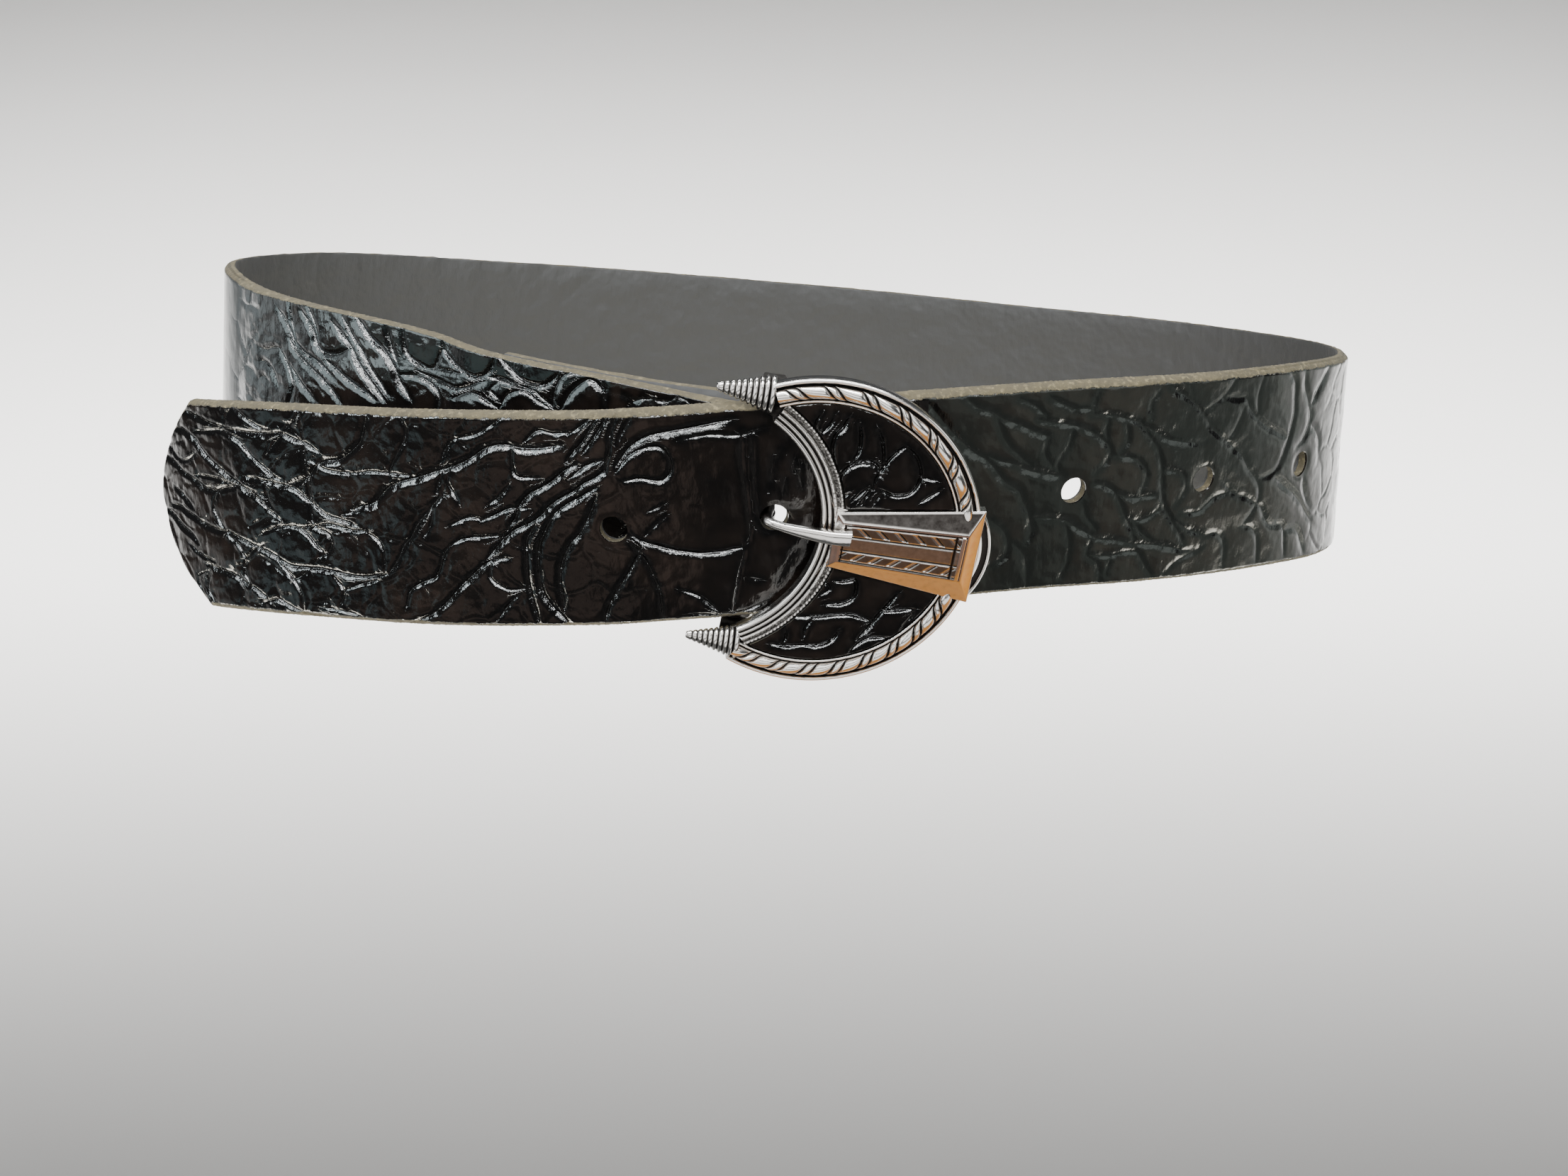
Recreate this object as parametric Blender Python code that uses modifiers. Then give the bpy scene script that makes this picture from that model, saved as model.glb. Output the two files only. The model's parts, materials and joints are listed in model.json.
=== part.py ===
"""Embossed leather waist belt with a cast crescent buckle, fastened as it is worn.

The strap is one piece of leather.  Its buckle end folds back round a hidden heel bar, the
strap runs once round the waist, passes under the buckle and ends in a free tail.
Metres, +Z up, the wearer's front towards -Y, the origin in the middle of the waist.
"""
import math

import bmesh
import bpy
import numpy as np
from mathutils import Matrix, Vector

# Leather
belt_width = 0.050
leather = 0.0030
edge_bevel = 0.0008
turn_back_length = 0.058
tail_length = 0.1635
tip_depth = 0.0195
tip_offset = 0.0012
tip_fullness = 1.9
hole_pitch = 0.035
hole_diameter = 0.0062
hole_count = 7
holes_past_bar = 1
used_hole_reach = 0.0045
hole_row_drop = 0.0018
hole_row_rise = 0.0004
slot_reach = 0.0052
slot_width = 0.0036

# The waist that the belt goes round, and how the belt sits on it
waist_half_width = 0.140
waist_half_depth = 0.0912
skin_gap = 0.0003
layer_gap = 0.0003
buckle_shift = 0.0065
slip_length = 0.032
settle_length = 0.018

# Metal
bar_radius = 0.0020
floor_thickness = 0.0012
band_height = 0.0038
plate_height = 0.0052
end_height = 0.0030
pocket_play = 0.0003
inlay_thickness = 0.0014
prong_radius = 0.0016
prong_ring_radius = 0.00125
prong_side = 0.0015
prong_drift = 0.0023
prong_tip_reach = 0.0202
frame_swivel = 6.5
frame_slide = 0.0011
lug_thickness = 0.0026
seat_gap = 0.0004
rivet_reach = 0.036
rivet_radius = 0.0016
rivet_head_radius = 0.0035
rivet_head = 0.0008

# Height of the strap's base line in shares of belt_width, and the strap's lean from upright in
# degrees (top outwards), by the share of a turn from the heel bar, towards the wearer's right
STATIONS = (
    # turn, height, lean
    (-0.02, -0.218, 13.0),
    (0.00, -0.112, 13.0),
    (0.012, -0.084, 12.8),
    (0.028, -0.052, 12.0),
    (0.046, -0.012, 9.5),
    (0.064, 0.028, 7.0),
    (0.080, 0.072, 5.8),
    (0.10, 0.128, 4.0),
    (0.16, 0.214, -2.0),
    (0.23, 0.300, -4.0),
    (0.30, 0.284, -6.5),
    (0.40, 0.170, -10.5),
    (0.50, 0.022, -11.0),
    (0.60, -0.106, -8.0),
    (0.70, -0.150, -3.5),
    (0.77, -0.138, 1.5),
    (0.84, -0.099, 7.9),
    (0.90, -0.086, 11.3),
    (0.95, -0.070, 13.0),
    (0.98, -0.065, 13.0),
    (1.00, -0.064, 13.0),
    (1.02, -0.090, 12.6),
    (1.04, -0.130, 10.6),
    (1.08, -0.184, 6.3),
    (1.13, -0.224, 3.0),
    (1.20, -0.312, 0.5),
)

# How far the strap stands off the waist on its second pass, in shares of its height over the
# fold: it climbs in a straight line to the fold, and the stiff tail springs off the waist
STAND_OFF = (
    # turn, share
    (0.880, 0.000),
    (0.905, 0.010),
    (0.920, 0.055),
    (0.935, 0.168),
    (0.950, 0.330),
    (0.965, 0.523),
    (0.980, 0.743),
    (0.990, 0.884),
    (1.000, 1.000),
    (1.015, 1.085),
    (1.030, 1.080),
    (1.060, 1.010),
    (1.100, 1.070),
    (1.140, 1.290),
    (1.200, 1.700),
)

# The crescent's circles, in shares of belt_width: how far each centre is from the heel bar
# along the buckle's axis, and the radii of the two edges of its band
CIRCLES = {
    # name: (centre, outer edge, inner edge)
    "outer band": (0.264, 0.713, 0.608),
    "hollow bar": (-0.284, 0.664, 0.564),
    "end cap": (0.662, 0.366, 0.310),
}

# The two ringed horns, in shares of belt_width
HORNS = (
    # side, root along the axis, distance from the axis, length, root radius, tip radius
    (1, -0.026, 0.592, 0.225, 0.084, 0.020),
    (-1, 0.008, -0.582, 0.216, 0.080, 0.018),
)
horn_rings = 9

# The raised plate, in shares of belt_width: half widths of its base and of its flat top
PLATE = (
    # along the axis, half width of the base, top along the axis, half width of the top
    (0.334, 0.128, 0.366, 0.094),
    (0.968, 0.218, 0.912, 0.110),
)

# The prong's line from the heel bar outwards, in shares of its reach and of its height at the tip
PRONG_LINE = (
    # along, height, thickness
    (0.166, 0.170, 0.80),
    (0.138, 0.330, 0.80),
    (0.129, 0.450, 0.80),
    (0.134, 0.540, 0.80),
    (0.170, 0.625, 0.82),
    (0.250, 0.705, 0.85),
    (0.370, 0.790, 0.90),
    (0.520, 0.872, 0.95),
    (0.700, 0.945, 1.00),
    (0.860, 0.988, 1.00),
    (1.000, 1.000, 1.00),
)

belt = bpy.data.collections.new("embossed_leather_belt")
cutters = bpy.data.collections.new("cutters")


def curve_through(rows, column):
    """A smooth curve through one column of a table that never swings past its rows."""
    x = np.array([row[0] for row in rows], float)
    y = np.array([row[column] for row in rows], float)
    step = np.diff(x)
    slope = np.diff(y) / step
    bend = np.zeros(len(x))
    bend[0], bend[-1] = slope[0], slope[-1]
    for i in range(1, len(x) - 1):
        if slope[i - 1] * slope[i] > 0:
            near, far = 2 * step[i] + step[i - 1], step[i] + 2 * step[i - 1]
            bend[i] = (near + far) / (near / slope[i - 1] + far / slope[i])

    def at(t):
        i = int(np.clip(np.searchsorted(x, t) - 1, 0, len(step) - 1))
        q = (t - x[i]) / step[i]
        return float((1 + 2 * q) * (1 - q) ** 2 * y[i] + q * (1 - q) ** 2 * step[i] * bend[i]
                     + q * q * (3 - 2 * q) * y[i + 1] + q * q * (q - 1) * step[i] * bend[i + 1])
    return at


def ease(x):
    x = min(1.0, max(0.0, x))
    return x * x * (3 - 2 * x)


# The stack of layers at the heel bar, measured off the waist
fold_inner = bar_radius + layer_gap
bar_level = skin_gap + leather + fold_inner
over_turn_back = skin_gap + leather + layer_gap
fold_top = bar_level + fold_inner

height_at = curve_through(STATIONS, 1)
lean_at = curve_through(STATIONS, 2)
share_at = curve_through(STAND_OFF, 1)
tail_lift = belt_width * (height_at(1.0) - height_at(0.0))
second_level = fold_top + leather + layer_gap + max(0.0, tail_lift) * \
    math.sin(math.radians(lean_at(0.0)))
start_angle = -math.asin(buckle_shift / waist_half_width)


def base_point(turn):
    angle = start_angle - math.pi / 2 - 2 * math.pi * turn
    return Vector((waist_half_width * math.cos(angle), waist_half_depth * math.sin(angle),
                   belt_width * height_at(turn)))


def base_frame(turn):
    """The waist's own point and directions at a turn: along, across and out of the strap."""
    angle = start_angle - math.pi / 2 - 2 * math.pi * turn
    level_out = Vector((math.cos(angle) / waist_half_width, math.sin(angle) / waist_half_depth,
                        0)).normalized()
    along = (base_point(turn + 0.0005) - base_point(turn - 0.0005)).normalized()
    up = along.cross(level_out).normalized()
    lean = math.radians(lean_at(turn))
    across = up * math.cos(lean) + level_out * math.sin(lean)
    out = level_out * math.cos(lean) - up * math.sin(lean)
    return base_point(turn), along, across, out


grid_turns = np.linspace(0, 1.3, 2601)
grid_base = [base_point(t) for t in grid_turns]
grid_length = np.concatenate(([0.0], np.cumsum([(q - p).length for p, q in
                                               zip(grid_base, grid_base[1:])])))


def stand_off(turn):
    """Height of the strap's flesh side off the waist."""
    if turn > STAND_OFF[0][0]:
        return skin_gap + (second_level - skin_gap) * max(0.0, share_at(turn))
    gone = float(np.interp(turn, grid_turns, grid_length))
    first = (fold_top - over_turn_back) * (1 - ease(gone / slip_length))
    after = gone - turn_back_length - leather / 2
    second = (over_turn_back - skin_gap) * (1 - ease(after / settle_length))
    return skin_gap + first + second


def strap_point(turn):
    point, along, across, out = base_frame(turn)
    return point + out * stand_off(turn)


def strap_frame(turn):
    """Flesh side middle, across and out of the strap where it lies at this turn."""
    point = strap_point(turn)
    along = (strap_point(turn + 0.0004) - strap_point(turn - 0.0004)).normalized()
    across = base_frame(turn)[2]
    across = (across - along * along.dot(across)).normalized()
    return point, along, across, across.cross(along).normalized()


bar_base, bar_along, bar_axis, bar_out = base_frame(0.0)
bar_centre = bar_base + bar_out * bar_level
fold_length = math.pi * (fold_inner + leather / 2)

# Length along the middle of the leather, from the top of the fold
run_turns = np.linspace(0, 1.27, 2541)
run_points = []
for t in run_turns:
    p, along, across, out = strap_frame(t)
    run_points.append(p + out * leather / 2)
run_length = np.concatenate(([0.0], np.cumsum([(q - p).length for p, q in
                                              zip(run_points, run_points[1:])])))
loop_length = float(np.interp(1.0, run_turns, run_length))
rivet_turn = float(np.interp(rivet_reach, run_length, run_turns))
strap_end = loop_length + tail_length
strap_start = -fold_length - turn_back_length


def place_on_strap(s, v, w):
    """Where a point of the flat strap goes: s along it, v across it, w off its flesh side."""
    if s >= 0:
        p, along, across, out = strap_frame(float(np.interp(s, run_length, run_turns)))
    elif s > -fold_length:
        angle = -s / (fold_inner + leather / 2)
        across = bar_axis
        out = bar_out * math.cos(angle) - bar_along * math.sin(angle)
        p = bar_centre + out * fold_inner
    else:
        turn = float(np.interp(-fold_length - s, grid_length, grid_turns))
        p, along, across, out = base_frame(turn)
        p = p + out * (skin_gap + leather)
        out = -out
    return p + across * v + out * w


def put(obj, collection):
    collection.objects.link(obj)
    return obj


def mesh_object(name, bm, collection):
    bmesh.ops.recalc_face_normals(bm, faces=bm.faces[:])
    mesh = bpy.data.meshes.new(name)
    bm.to_mesh(mesh)
    bm.free()
    return put(bpy.data.objects.new(name, mesh), collection)


def combine(target, tool, operation):
    modifier = target.modifiers.new("join", "BOOLEAN")
    modifier.operation = operation
    modifier.solver = "EXACT"
    modifier.object = tool
    apply_all(target)
    bpy.data.objects.remove(tool)
    bm = bmesh.new()
    bm.from_mesh(target.data)
    bmesh.ops.remove_doubles(bm, verts=bm.verts, dist=0.000004)
    bmesh.ops.dissolve_degenerate(bm, edges=bm.edges, dist=0.000002)
    bm.to_mesh(target.data)
    bm.free()


def apply_all(obj):
    graph = bpy.context.evaluated_depsgraph_get()
    graph.update()
    mesh = bpy.data.meshes.new_from_object(obj.evaluated_get(graph))
    obj.modifiers.clear()
    obj.data = mesh


def tidy(obj, distance=0.00003):
    bm = bmesh.new()
    bm.from_mesh(obj.data)
    bmesh.ops.remove_doubles(bm, verts=bm.verts, dist=distance)
    bmesh.ops.dissolve_degenerate(bm, edges=bm.edges, dist=distance / 4)
    bmesh.ops.triangulate(bm, faces=bm.faces[:])
    bmesh.ops.recalc_face_normals(bm, faces=bm.faces[:])
    bm.to_mesh(obj.data)
    bm.free()


def block(name, low, high):
    bm = bmesh.new()
    bmesh.ops.create_cube(bm, size=1.0)
    for vert in bm.verts:
        for axis in range(3):
            vert.co[axis] = high[axis] if vert.co[axis] > 0 else low[axis]
    return mesh_object(name, bm, cutters)


def pillar(name, x, y, radius, low, high, segments=24, flare=1.0):
    bm = bmesh.new()
    bmesh.ops.create_cone(bm, cap_ends=True, segments=segments, radius1=radius,
                          radius2=radius * flare, depth=high - low)
    bmesh.ops.translate(bm, verts=bm.verts, vec=(x, y, (low + high) / 2))
    return mesh_object(name, bm, cutters)


def swept_band(name, centre, profile, half_angle, steps):
    """A closed profile of (radius, height) rows turned about an upright line on the axis."""
    bm = bmesh.new()
    ring = [bm.verts.new((centre + r, 0, h)) for r, h in profile]
    edges = [bm.edges.new((a, b)) for a, b in zip(ring, ring[1:] + ring[:1])]
    turn = Matrix.Rotation(-half_angle, 3, "Z")
    bmesh.ops.rotate(bm, cent=(centre, 0, 0), matrix=turn, verts=ring)
    bmesh.ops.spin(bm, geom=ring + edges, cent=(centre, 0, 0), axis=(0, 0, 1),
                   angle=2 * half_angle, steps=steps)
    bmesh.ops.holes_fill(bm, edges=bm.edges[:], sides=0)
    return mesh_object(name, bm, cutters)


def give_material(obj, name, colour, metallic, roughness):
    material = bpy.data.materials.new(name)
    material.use_nodes = True
    shader = material.node_tree.nodes["Principled BSDF"]
    shader.inputs["Base Color"].default_value = (*colour, 1)
    shader.inputs["Metallic"].default_value = metallic
    shader.inputs["Roughness"].default_value = roughness
    obj.data.materials.clear()
    obj.data.materials.append(material)


def strap_stations():
    """Lengths at which the flat strap has a cross line: close together round the fold."""
    rows = list(np.linspace(strap_start, -fold_length, 9))
    rows += list(np.linspace(-fold_length, 0, 13))[1:]
    rows += list(np.linspace(0, turn_back_length + settle_length + 0.01, 19))[1:]
    climb = float(np.interp(0.90, run_turns, run_length))
    count = int(round((climb - rows[-1]) / 0.0085))
    rows += list(np.linspace(rows[-1], climb, count + 1))[1:]
    rows += list(np.linspace(climb, loop_length + 0.03, 22))[1:]
    rows += list(np.linspace(rows[-1], strap_end - tip_depth, 15))[1:]
    rows += [strap_end - tip_depth * (1 - q / 9) ** 2 for q in range(1, 10)]
    return rows


def half_span(s, side):
    """Where the strap's edge is on this side, with the rounded tip at its end."""
    share = min(1.0, max(0.0, (strap_end - s) / tip_depth)) ** (1 / tip_fullness)
    return side * belt_width / 2 * share + tip_offset * (1 - share)


def build_strap():
    rows = strap_stations()
    across = 4
    bm = bmesh.new()
    bmesh.ops.create_grid(bm, x_segments=len(rows) - 1, y_segments=across, size=1.0)
    for vert in bm.verts:
        s = rows[int(round((vert.co.x + 1) / 2 * (len(rows) - 1)))]
        share = (vert.co.y + 1) / 2
        vert.co = (s, half_span(s, -1) * (1 - share) + half_span(s, 1) * share, 0)
    bmesh.ops.remove_doubles(bm, verts=bm.verts, dist=0.00005)
    strap = mesh_object("strap", bm, belt)
    solid = strap.modifiers.new("thickness", "SOLIDIFY")
    solid.thickness = leather
    solid.offset = 1 if strap.data.polygons[0].normal.z > 0 else -1
    soft = strap.modifiers.new("arris", "BEVEL")
    soft.width = edge_bevel
    soft.segments = 1
    soft.limit_method = "ANGLE"
    soft.angle_limit = math.radians(60)
    apply_all(strap)
    for index in range(hole_count):
        number = index - holes_past_bar
        s = loop_length - used_hole_reach - number * hole_pitch
        v = -hole_row_drop + hole_row_rise * index
        combine(strap, pillar("punch", s, v, hole_diameter / 2, -0.001, leather + 0.001, 20),
                "DIFFERENCE")
    slot = block("slot", (-fold_length - slot_reach, prong_side - slot_width / 2, -0.001),
                 (slot_reach, prong_side + slot_width / 2, leather + 0.001))
    combine(strap, slot, "DIFFERENCE")
    below = float(np.interp(rivet_turn, grid_turns, grid_length))
    for s in (rivet_reach, -fold_length - below):
        combine(strap, pillar("punch", s, 0, rivet_radius + layer_gap, -0.001,
                              leather + 0.001, 12), "DIFFERENCE")
    tidy(strap)
    for vert in strap.data.vertices:
        vert.co = place_on_strap(*vert.co)
    tidy(strap, 0.00001)
    return strap


# The buckle's own directions: turned about the heel bar so that its far end follows the strap
swivel = math.radians(frame_swivel)
buckle_u = -bar_along * math.cos(swivel) - bar_out * math.sin(swivel)
buckle_w = bar_out * math.cos(swivel) - bar_along * math.sin(swivel)


def seat_level():
    """Height over the heel bar that clears the strap everywhere under the crescent."""
    highest = 0.0
    for t in np.linspace(0.915, 1.012, 60):
        for side in np.linspace(-0.5, 0.5, 9):
            p, along, across, out = strap_frame(t)
            p = p + across * side * belt_width + out * leather - bar_centre
            if p.dot(buckle_u) > -0.05 * belt_width:
                highest = max(highest, p.dot(buckle_w))
    return highest + seat_gap


seat = seat_level()
buckle_matrix = Matrix.Translation(bar_centre + bar_axis * frame_slide + buckle_w * seat) @ \
    Matrix((buckle_u, bar_axis, buckle_w)).transposed().to_4x4()
bar_matrix = Matrix.Translation(bar_centre) @ \
    Matrix((buckle_u, bar_axis, buckle_w)).transposed().to_4x4()


def band_profile(outer, inner, rows):
    """A band's section between two radii: rows of (share of its width, height)."""
    return [(outer - (outer - inner) * share, height) for share, height in rows]


def crescent_plate(name, low, high, outer, hollow, segments):
    """The flat crescent: a disc less a disc, cut off at the horns' roots."""
    outer_centre, hollow_centre = (belt_width * CIRCLES[n][0] for n in
                                   ("outer band", "hollow bar"))
    body = pillar(name, outer_centre, 0, outer, low, high, segments)
    combine(body, pillar("hollow", hollow_centre, 0, hollow, low - 0.001, high + 0.001,
                         segments), "DIFFERENCE")
    return body


def build_frame():
    k = belt_width
    band_centre, band_outer, band_inner = (k * value for value in CIRCLES["outer band"])
    bar_centre_u, bar_outer, bar_inner = (k * value for value in CIRCLES["hollow bar"])
    cap_centre, cap_outer, cap_inner = (k * value for value in CIRCLES["end cap"])
    f, h = floor_thickness, band_height

    frame = crescent_plate("buckle_frame", 0, f, band_outer - 0.0004, bar_inner + 0.0004, 72)
    root = k * min(row[1] for row in HORNS)
    combine(frame, block("cut", (-k, -k, -0.001), (root, k, f + 0.001)), "DIFFERENCE")

    band = band_profile(band_outer, band_inner, (
        (0.04, 0), (0.0, 0.15 * h), (0.0, 0.82 * h), (0.05, 0.97 * h), (0.12, 0.97 * h),
        (0.18, 0.80 * h), (0.21, 0.72 * h), (0.26, 0.78 * h), (0.34, 1.02 * h),
        (0.50, 1.12 * h), (0.66, 1.02 * h), (0.74, 0.78 * h), (0.79, 0.70 * h),
        (0.84, 0.88 * h), (0.89, 0.93 * h), (0.96, 0.90 * h), (1.0, 0.78 * h), (1.0, 0)))
    reach = math.acos((root - band_centre) / band_outer)
    combine(frame, swept_band("band", band_centre, band, reach, 44), "UNION")

    bar = band_profile(bar_outer, bar_inner, (
        (0.0, 0), (0.0, 0.62 * h), (0.07, 0.70 * h), (0.15, 0.64 * h), (0.22, 0.62 * h),
        (0.30, 0.84 * h), (0.40, 0.87 * h), (0.46, 0.66 * h), (0.52, 0.66 * h),
        (0.57, 0.88 * h), (0.66, 0.90 * h), (0.72, 0.68 * h), (0.77, 0.68 * h),
        (0.82, 0.92 * h), (0.93, 0.93 * h), (1.0, 0.78 * h), (1.0, 0.1 * h), (0.97, 0)))
    bar_reach = math.asin(0.99 * k * abs(HORNS[1][2]) / bar_outer)
    combine(frame, swept_band("hollow bar", bar_centre_u, bar, bar_reach, 26), "UNION")

    (left, left_half, top_left, top_left_half), (right, right_half, top_right,
                                                 top_right_half) = PLATE
    plate = block("plate", (0, -1, 0), (1, 1, 1))
    bm = bmesh.new()
    bm.from_mesh(plate.data)
    for vert in bm.verts:
        along, half = (right, right_half) if vert.co.x > 0.5 else (left, left_half)
        vert.co = (k * along, vert.co.y * k * half, 0.66 * h if vert.co.z > 0.5 else 0.3 * f)
    top = max(bm.faces, key=lambda face: face.calc_center_median().z)
    raised = bmesh.ops.extrude_face_region(bm, geom=[top])["geom"]
    bmesh.ops.delete(bm, geom=[top], context="FACES_ONLY")
    for vert in (item for item in raised if isinstance(item, bmesh.types.BMVert)):
        far = vert.co.x > k * (left + right) / 2
        along, half = (top_right, top_right_half) if far else (top_left, top_left_half)
        vert.co = (k * along, math.copysign(k * half, vert.co.y), plate_height)
    bmesh.ops.recalc_face_normals(bm, faces=bm.faces[:])
    bm.to_mesh(plate.data)
    bm.free()
    combine(frame, plate, "UNION")
    ridge = block("ridge", (k * (top_right - 0.034), -k * top_right_half * 0.98, 0.6 * h),
                  (k * (top_right - 0.002), k * top_right_half * 0.98, plate_height + 0.0004))
    combine(frame, ridge, "UNION")

    e = end_height
    cap = band_profile(cap_outer, 0.55 * cap_inner, (
        (0.02, 0.04 * e), (0.0, 0.2 * e), (0.0, 0.85 * e), (0.03, e), (0.09, e),
        (0.14, 0.7 * e), (0.20, 0.7 * e), (0.25, 0.7 * e), (1.0, 0.5 * e), (1.0, 0.04 * e)))
    cap_reach = math.asin(0.95 * right_half * k / cap_outer)
    combine(frame, swept_band("cap", cap_centre, cap, cap_reach, 14), "UNION")

    for side, start, away, length, root_radius, tip_radius_share in HORNS:
        rows = [(0.04, 0.0)]
        rows += [(0.04, 0.92 * root_radius), (0.0, root_radius), (-0.018, root_radius)]
        for ring in range(horn_rings):
            near, far = ring / horn_rings, (ring + 1) / horn_rings
            for q, swell in ((near, 0.86), (near * 0.6 + far * 0.4, 1.0), (far, 0.86)):
                radius = root_radius + (tip_radius_share - root_radius) * q ** 0.92
                rows.append((-0.022 - (length - 0.022) * q, radius * swell))
        rows.append((-length - 0.006, 0.0))
        bm = bmesh.new()
        line = [bm.verts.new((k * (start + u), 0, k * r)) for u, r in rows]
        edges = [bm.edges.new((a, b)) for a, b in zip(line, line[1:])]
        bmesh.ops.spin(bm, geom=line + edges, cent=(0, 0, 0), axis=(1, 0, 0),
                       angle=2 * math.pi, steps=16, use_merge=True)
        bmesh.ops.remove_doubles(bm, verts=bm.verts, dist=0.00001)
        bmesh.ops.translate(bm, verts=bm.verts, vec=(0, k * away, 0))
        horn = mesh_object("horn", bm, cutters)
        combine(horn, block("cut", (-k, -k, -k), (k, k, 0)), "DIFFERENCE")
        combine(frame, horn, "UNION")

    skew = belt_width / 2 / math.cos(math.radians(17))
    play = 0.012 * belt_width
    inside = {1: max(skew + tail_lift, belt_width / 2) + play,
              -1: max(skew - tail_lift, belt_width / 2) + play}
    for side in (1, -1):
        lug = block("lug", (-1, 0, 0), (1, 1, 1))
        for vert in lug.data.vertices:
            root = vert.co.z > 0.5
            wide = lug_thickness if root else 0.65 * lug_thickness
            reach = bar_radius * (1.9 if root else 1.2)
            away = inside[side] + (wide if vert.co.y > 0.5 else 0.0)
            vert.co = (vert.co.x * reach, side * away - frame_slide,
                       0.6 * f if root else -seat - 1.2 * bar_radius)
        if side < 0:
            lug.data.flip_normals()
        combine(frame, lug, "UNION")
    bar_tool = pillar("heel bar", 0, 0, bar_radius, -inside[-1] - 0.4 * lug_thickness,
                      inside[1] + 0.4 * lug_thickness, 20)
    bar_tool.data.transform(Matrix.Translation((0, -frame_slide, -seat)) @
                            Matrix.Rotation(-math.pi / 2, 4, "X"))
    combine(frame, bar_tool, "UNION")
    belt.objects.link(frame)
    cutters.objects.unlink(frame)
    tidy(frame, 0.000003)
    frame.data.transform(buckle_matrix)
    return frame


def build_inlay(name, side):
    """A piece of leather set into one field of the crescent, flush below its rims."""
    k = belt_width
    low = floor_thickness + layer_gap
    band_centre, band_outer, band_inner = (k * value for value in CIRCLES["outer band"])
    bar_centre_u, bar_outer, bar_inner = (k * value for value in CIRCLES["hollow bar"])
    piece = crescent_plate(name, low, low + inlay_thickness, band_inner - pocket_play,
                           bar_outer + pocket_play, 72)
    (left, left_half, top_left, a), (right, right_half, top_right, b) = PLATE
    cut = block("cut", (0, -1, 0), (1, 1, 1))
    for vert in cut.data.vertices:
        along = k * (right + 0.1) if vert.co.x > 0.5 else k * (left - 0.3)
        near = left_half + (right_half - left_half) * (along / k - left) / (right - left)
        y = side * (k * near + pocket_play * 1.1) if vert.co.y * side > 0 else -side * 2 * k
        vert.co = (along, y, 2 * k if vert.co.z > 0.5 else -2 * k)
    combine(piece, cut, "DIFFERENCE")
    corner = k * 0.062
    combine(piece, block("cut", (-k, -k, -k), (corner, k, k)), "DIFFERENCE")
    belt.objects.link(piece)
    cutters.objects.unlink(piece)
    tidy(piece)
    piece.data.transform(buckle_matrix)
    return piece


def build_prong():
    """The prong: a ring round the heel bar, a shank up through the hole and a flat-ended arm."""
    ring = bar_radius + layer_gap + prong_ring_radius
    tip = seat + plate_height + layer_gap + prong_radius
    path = []
    for i in range(19):
        angle = math.radians(100 + (360 - 100) * i / 18)
        path.append((ring * math.cos(angle), ring * math.sin(angle), prong_ring_radius))
    for along, high, thick in PRONG_LINE:
        path.append((along * prong_tip_reach, high * tip, thick * prong_radius))
    data = bpy.data.curves.new("prong line", "CURVE")
    data.dimensions = "3D"
    data.bevel_depth = 1.0
    data.bevel_resolution = 3
    data.use_fill_caps = True
    spline = data.splines.new("POLY")
    spline.points.add(len(path) - 1)
    for point, (u, w, radius) in zip(spline.points, path):
        drift = prong_drift * max(0.0, u - 0.003) / prong_tip_reach if w > 0.4 * tip else 0.0
        point.co = (u, prong_side + drift, w, 1)
        point.radius = radius
    line = put(bpy.data.objects.new("prong line", data), cutters)
    graph = bpy.context.evaluated_depsgraph_get()
    graph.update()
    mesh = bpy.data.meshes.new_from_object(line.evaluated_get(graph))
    mesh.transform(line.matrix_world)
    bpy.data.objects.remove(line)
    prong = put(bpy.data.objects.new("prong", mesh), belt)
    tidy(prong)
    prong.data.transform(bar_matrix)
    return prong


def build_rivet():
    """The hidden rivet that holds the turn-back to the strap."""
    p, along, across, out = strap_frame(rivet_turn)
    low, high = -over_turn_back + skin_gap - layer_gap, leather + layer_gap
    rivet = pillar("fold_rivet", 0, 0, rivet_radius, low - rivet_head / 2,
                   high + rivet_head / 2, 12)
    for start, end in ((low - rivet_head, low), (high, high + rivet_head)):
        combine(rivet, pillar("head", 0, 0, rivet_head_radius, start, end, 20), "UNION")
    belt.objects.link(rivet)
    cutters.objects.unlink(rivet)
    tidy(rivet)
    rivet.data.transform(Matrix.Translation(p) @
                         Matrix((-along, across, out)).transposed().to_4x4())
    return rivet


for obj in list(bpy.data.objects):
    bpy.data.objects.remove(obj)
bpy.context.scene.collection.children.link(belt)
bpy.context.scene.collection.children.link(cutters)

strap = build_strap()
frame = build_frame()
upper = build_inlay("inlay_upper", 1)
lower = build_inlay("inlay_lower", -1)
prong = build_prong()
rivet = build_rivet()

give_material(strap, "black embossed leather", (0.018, 0.016, 0.015), 0.0, 0.28)
give_material(upper, "black inlaid leather, upper field", (0.018, 0.016, 0.015), 0.0, 0.28)
give_material(lower, "black inlaid leather, lower field", (0.018, 0.016, 0.015), 0.0, 0.28)
give_material(frame, "cast silver alloy", (0.72, 0.70, 0.67), 1.0, 0.24)
give_material(prong, "polished silver alloy", (0.80, 0.78, 0.75), 1.0, 0.16)
give_material(rivet, "plain steel", (0.45, 0.45, 0.46), 1.0, 0.35)

for obj in list(cutters.objects):
    obj.hide_render = True
    obj.display_type = "WIRE"
for obj in belt.objects:
    for polygon in obj.data.polygons:
        polygon.use_smooth = obj.name in ("prong",)
    print(obj.name, "triangles", len(obj.data.polygons))
print("loop length to the heel bar in mm", round(loop_length * 1000, 1),
      "seat over the heel bar in mm", round(seat * 1000, 2))
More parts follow.
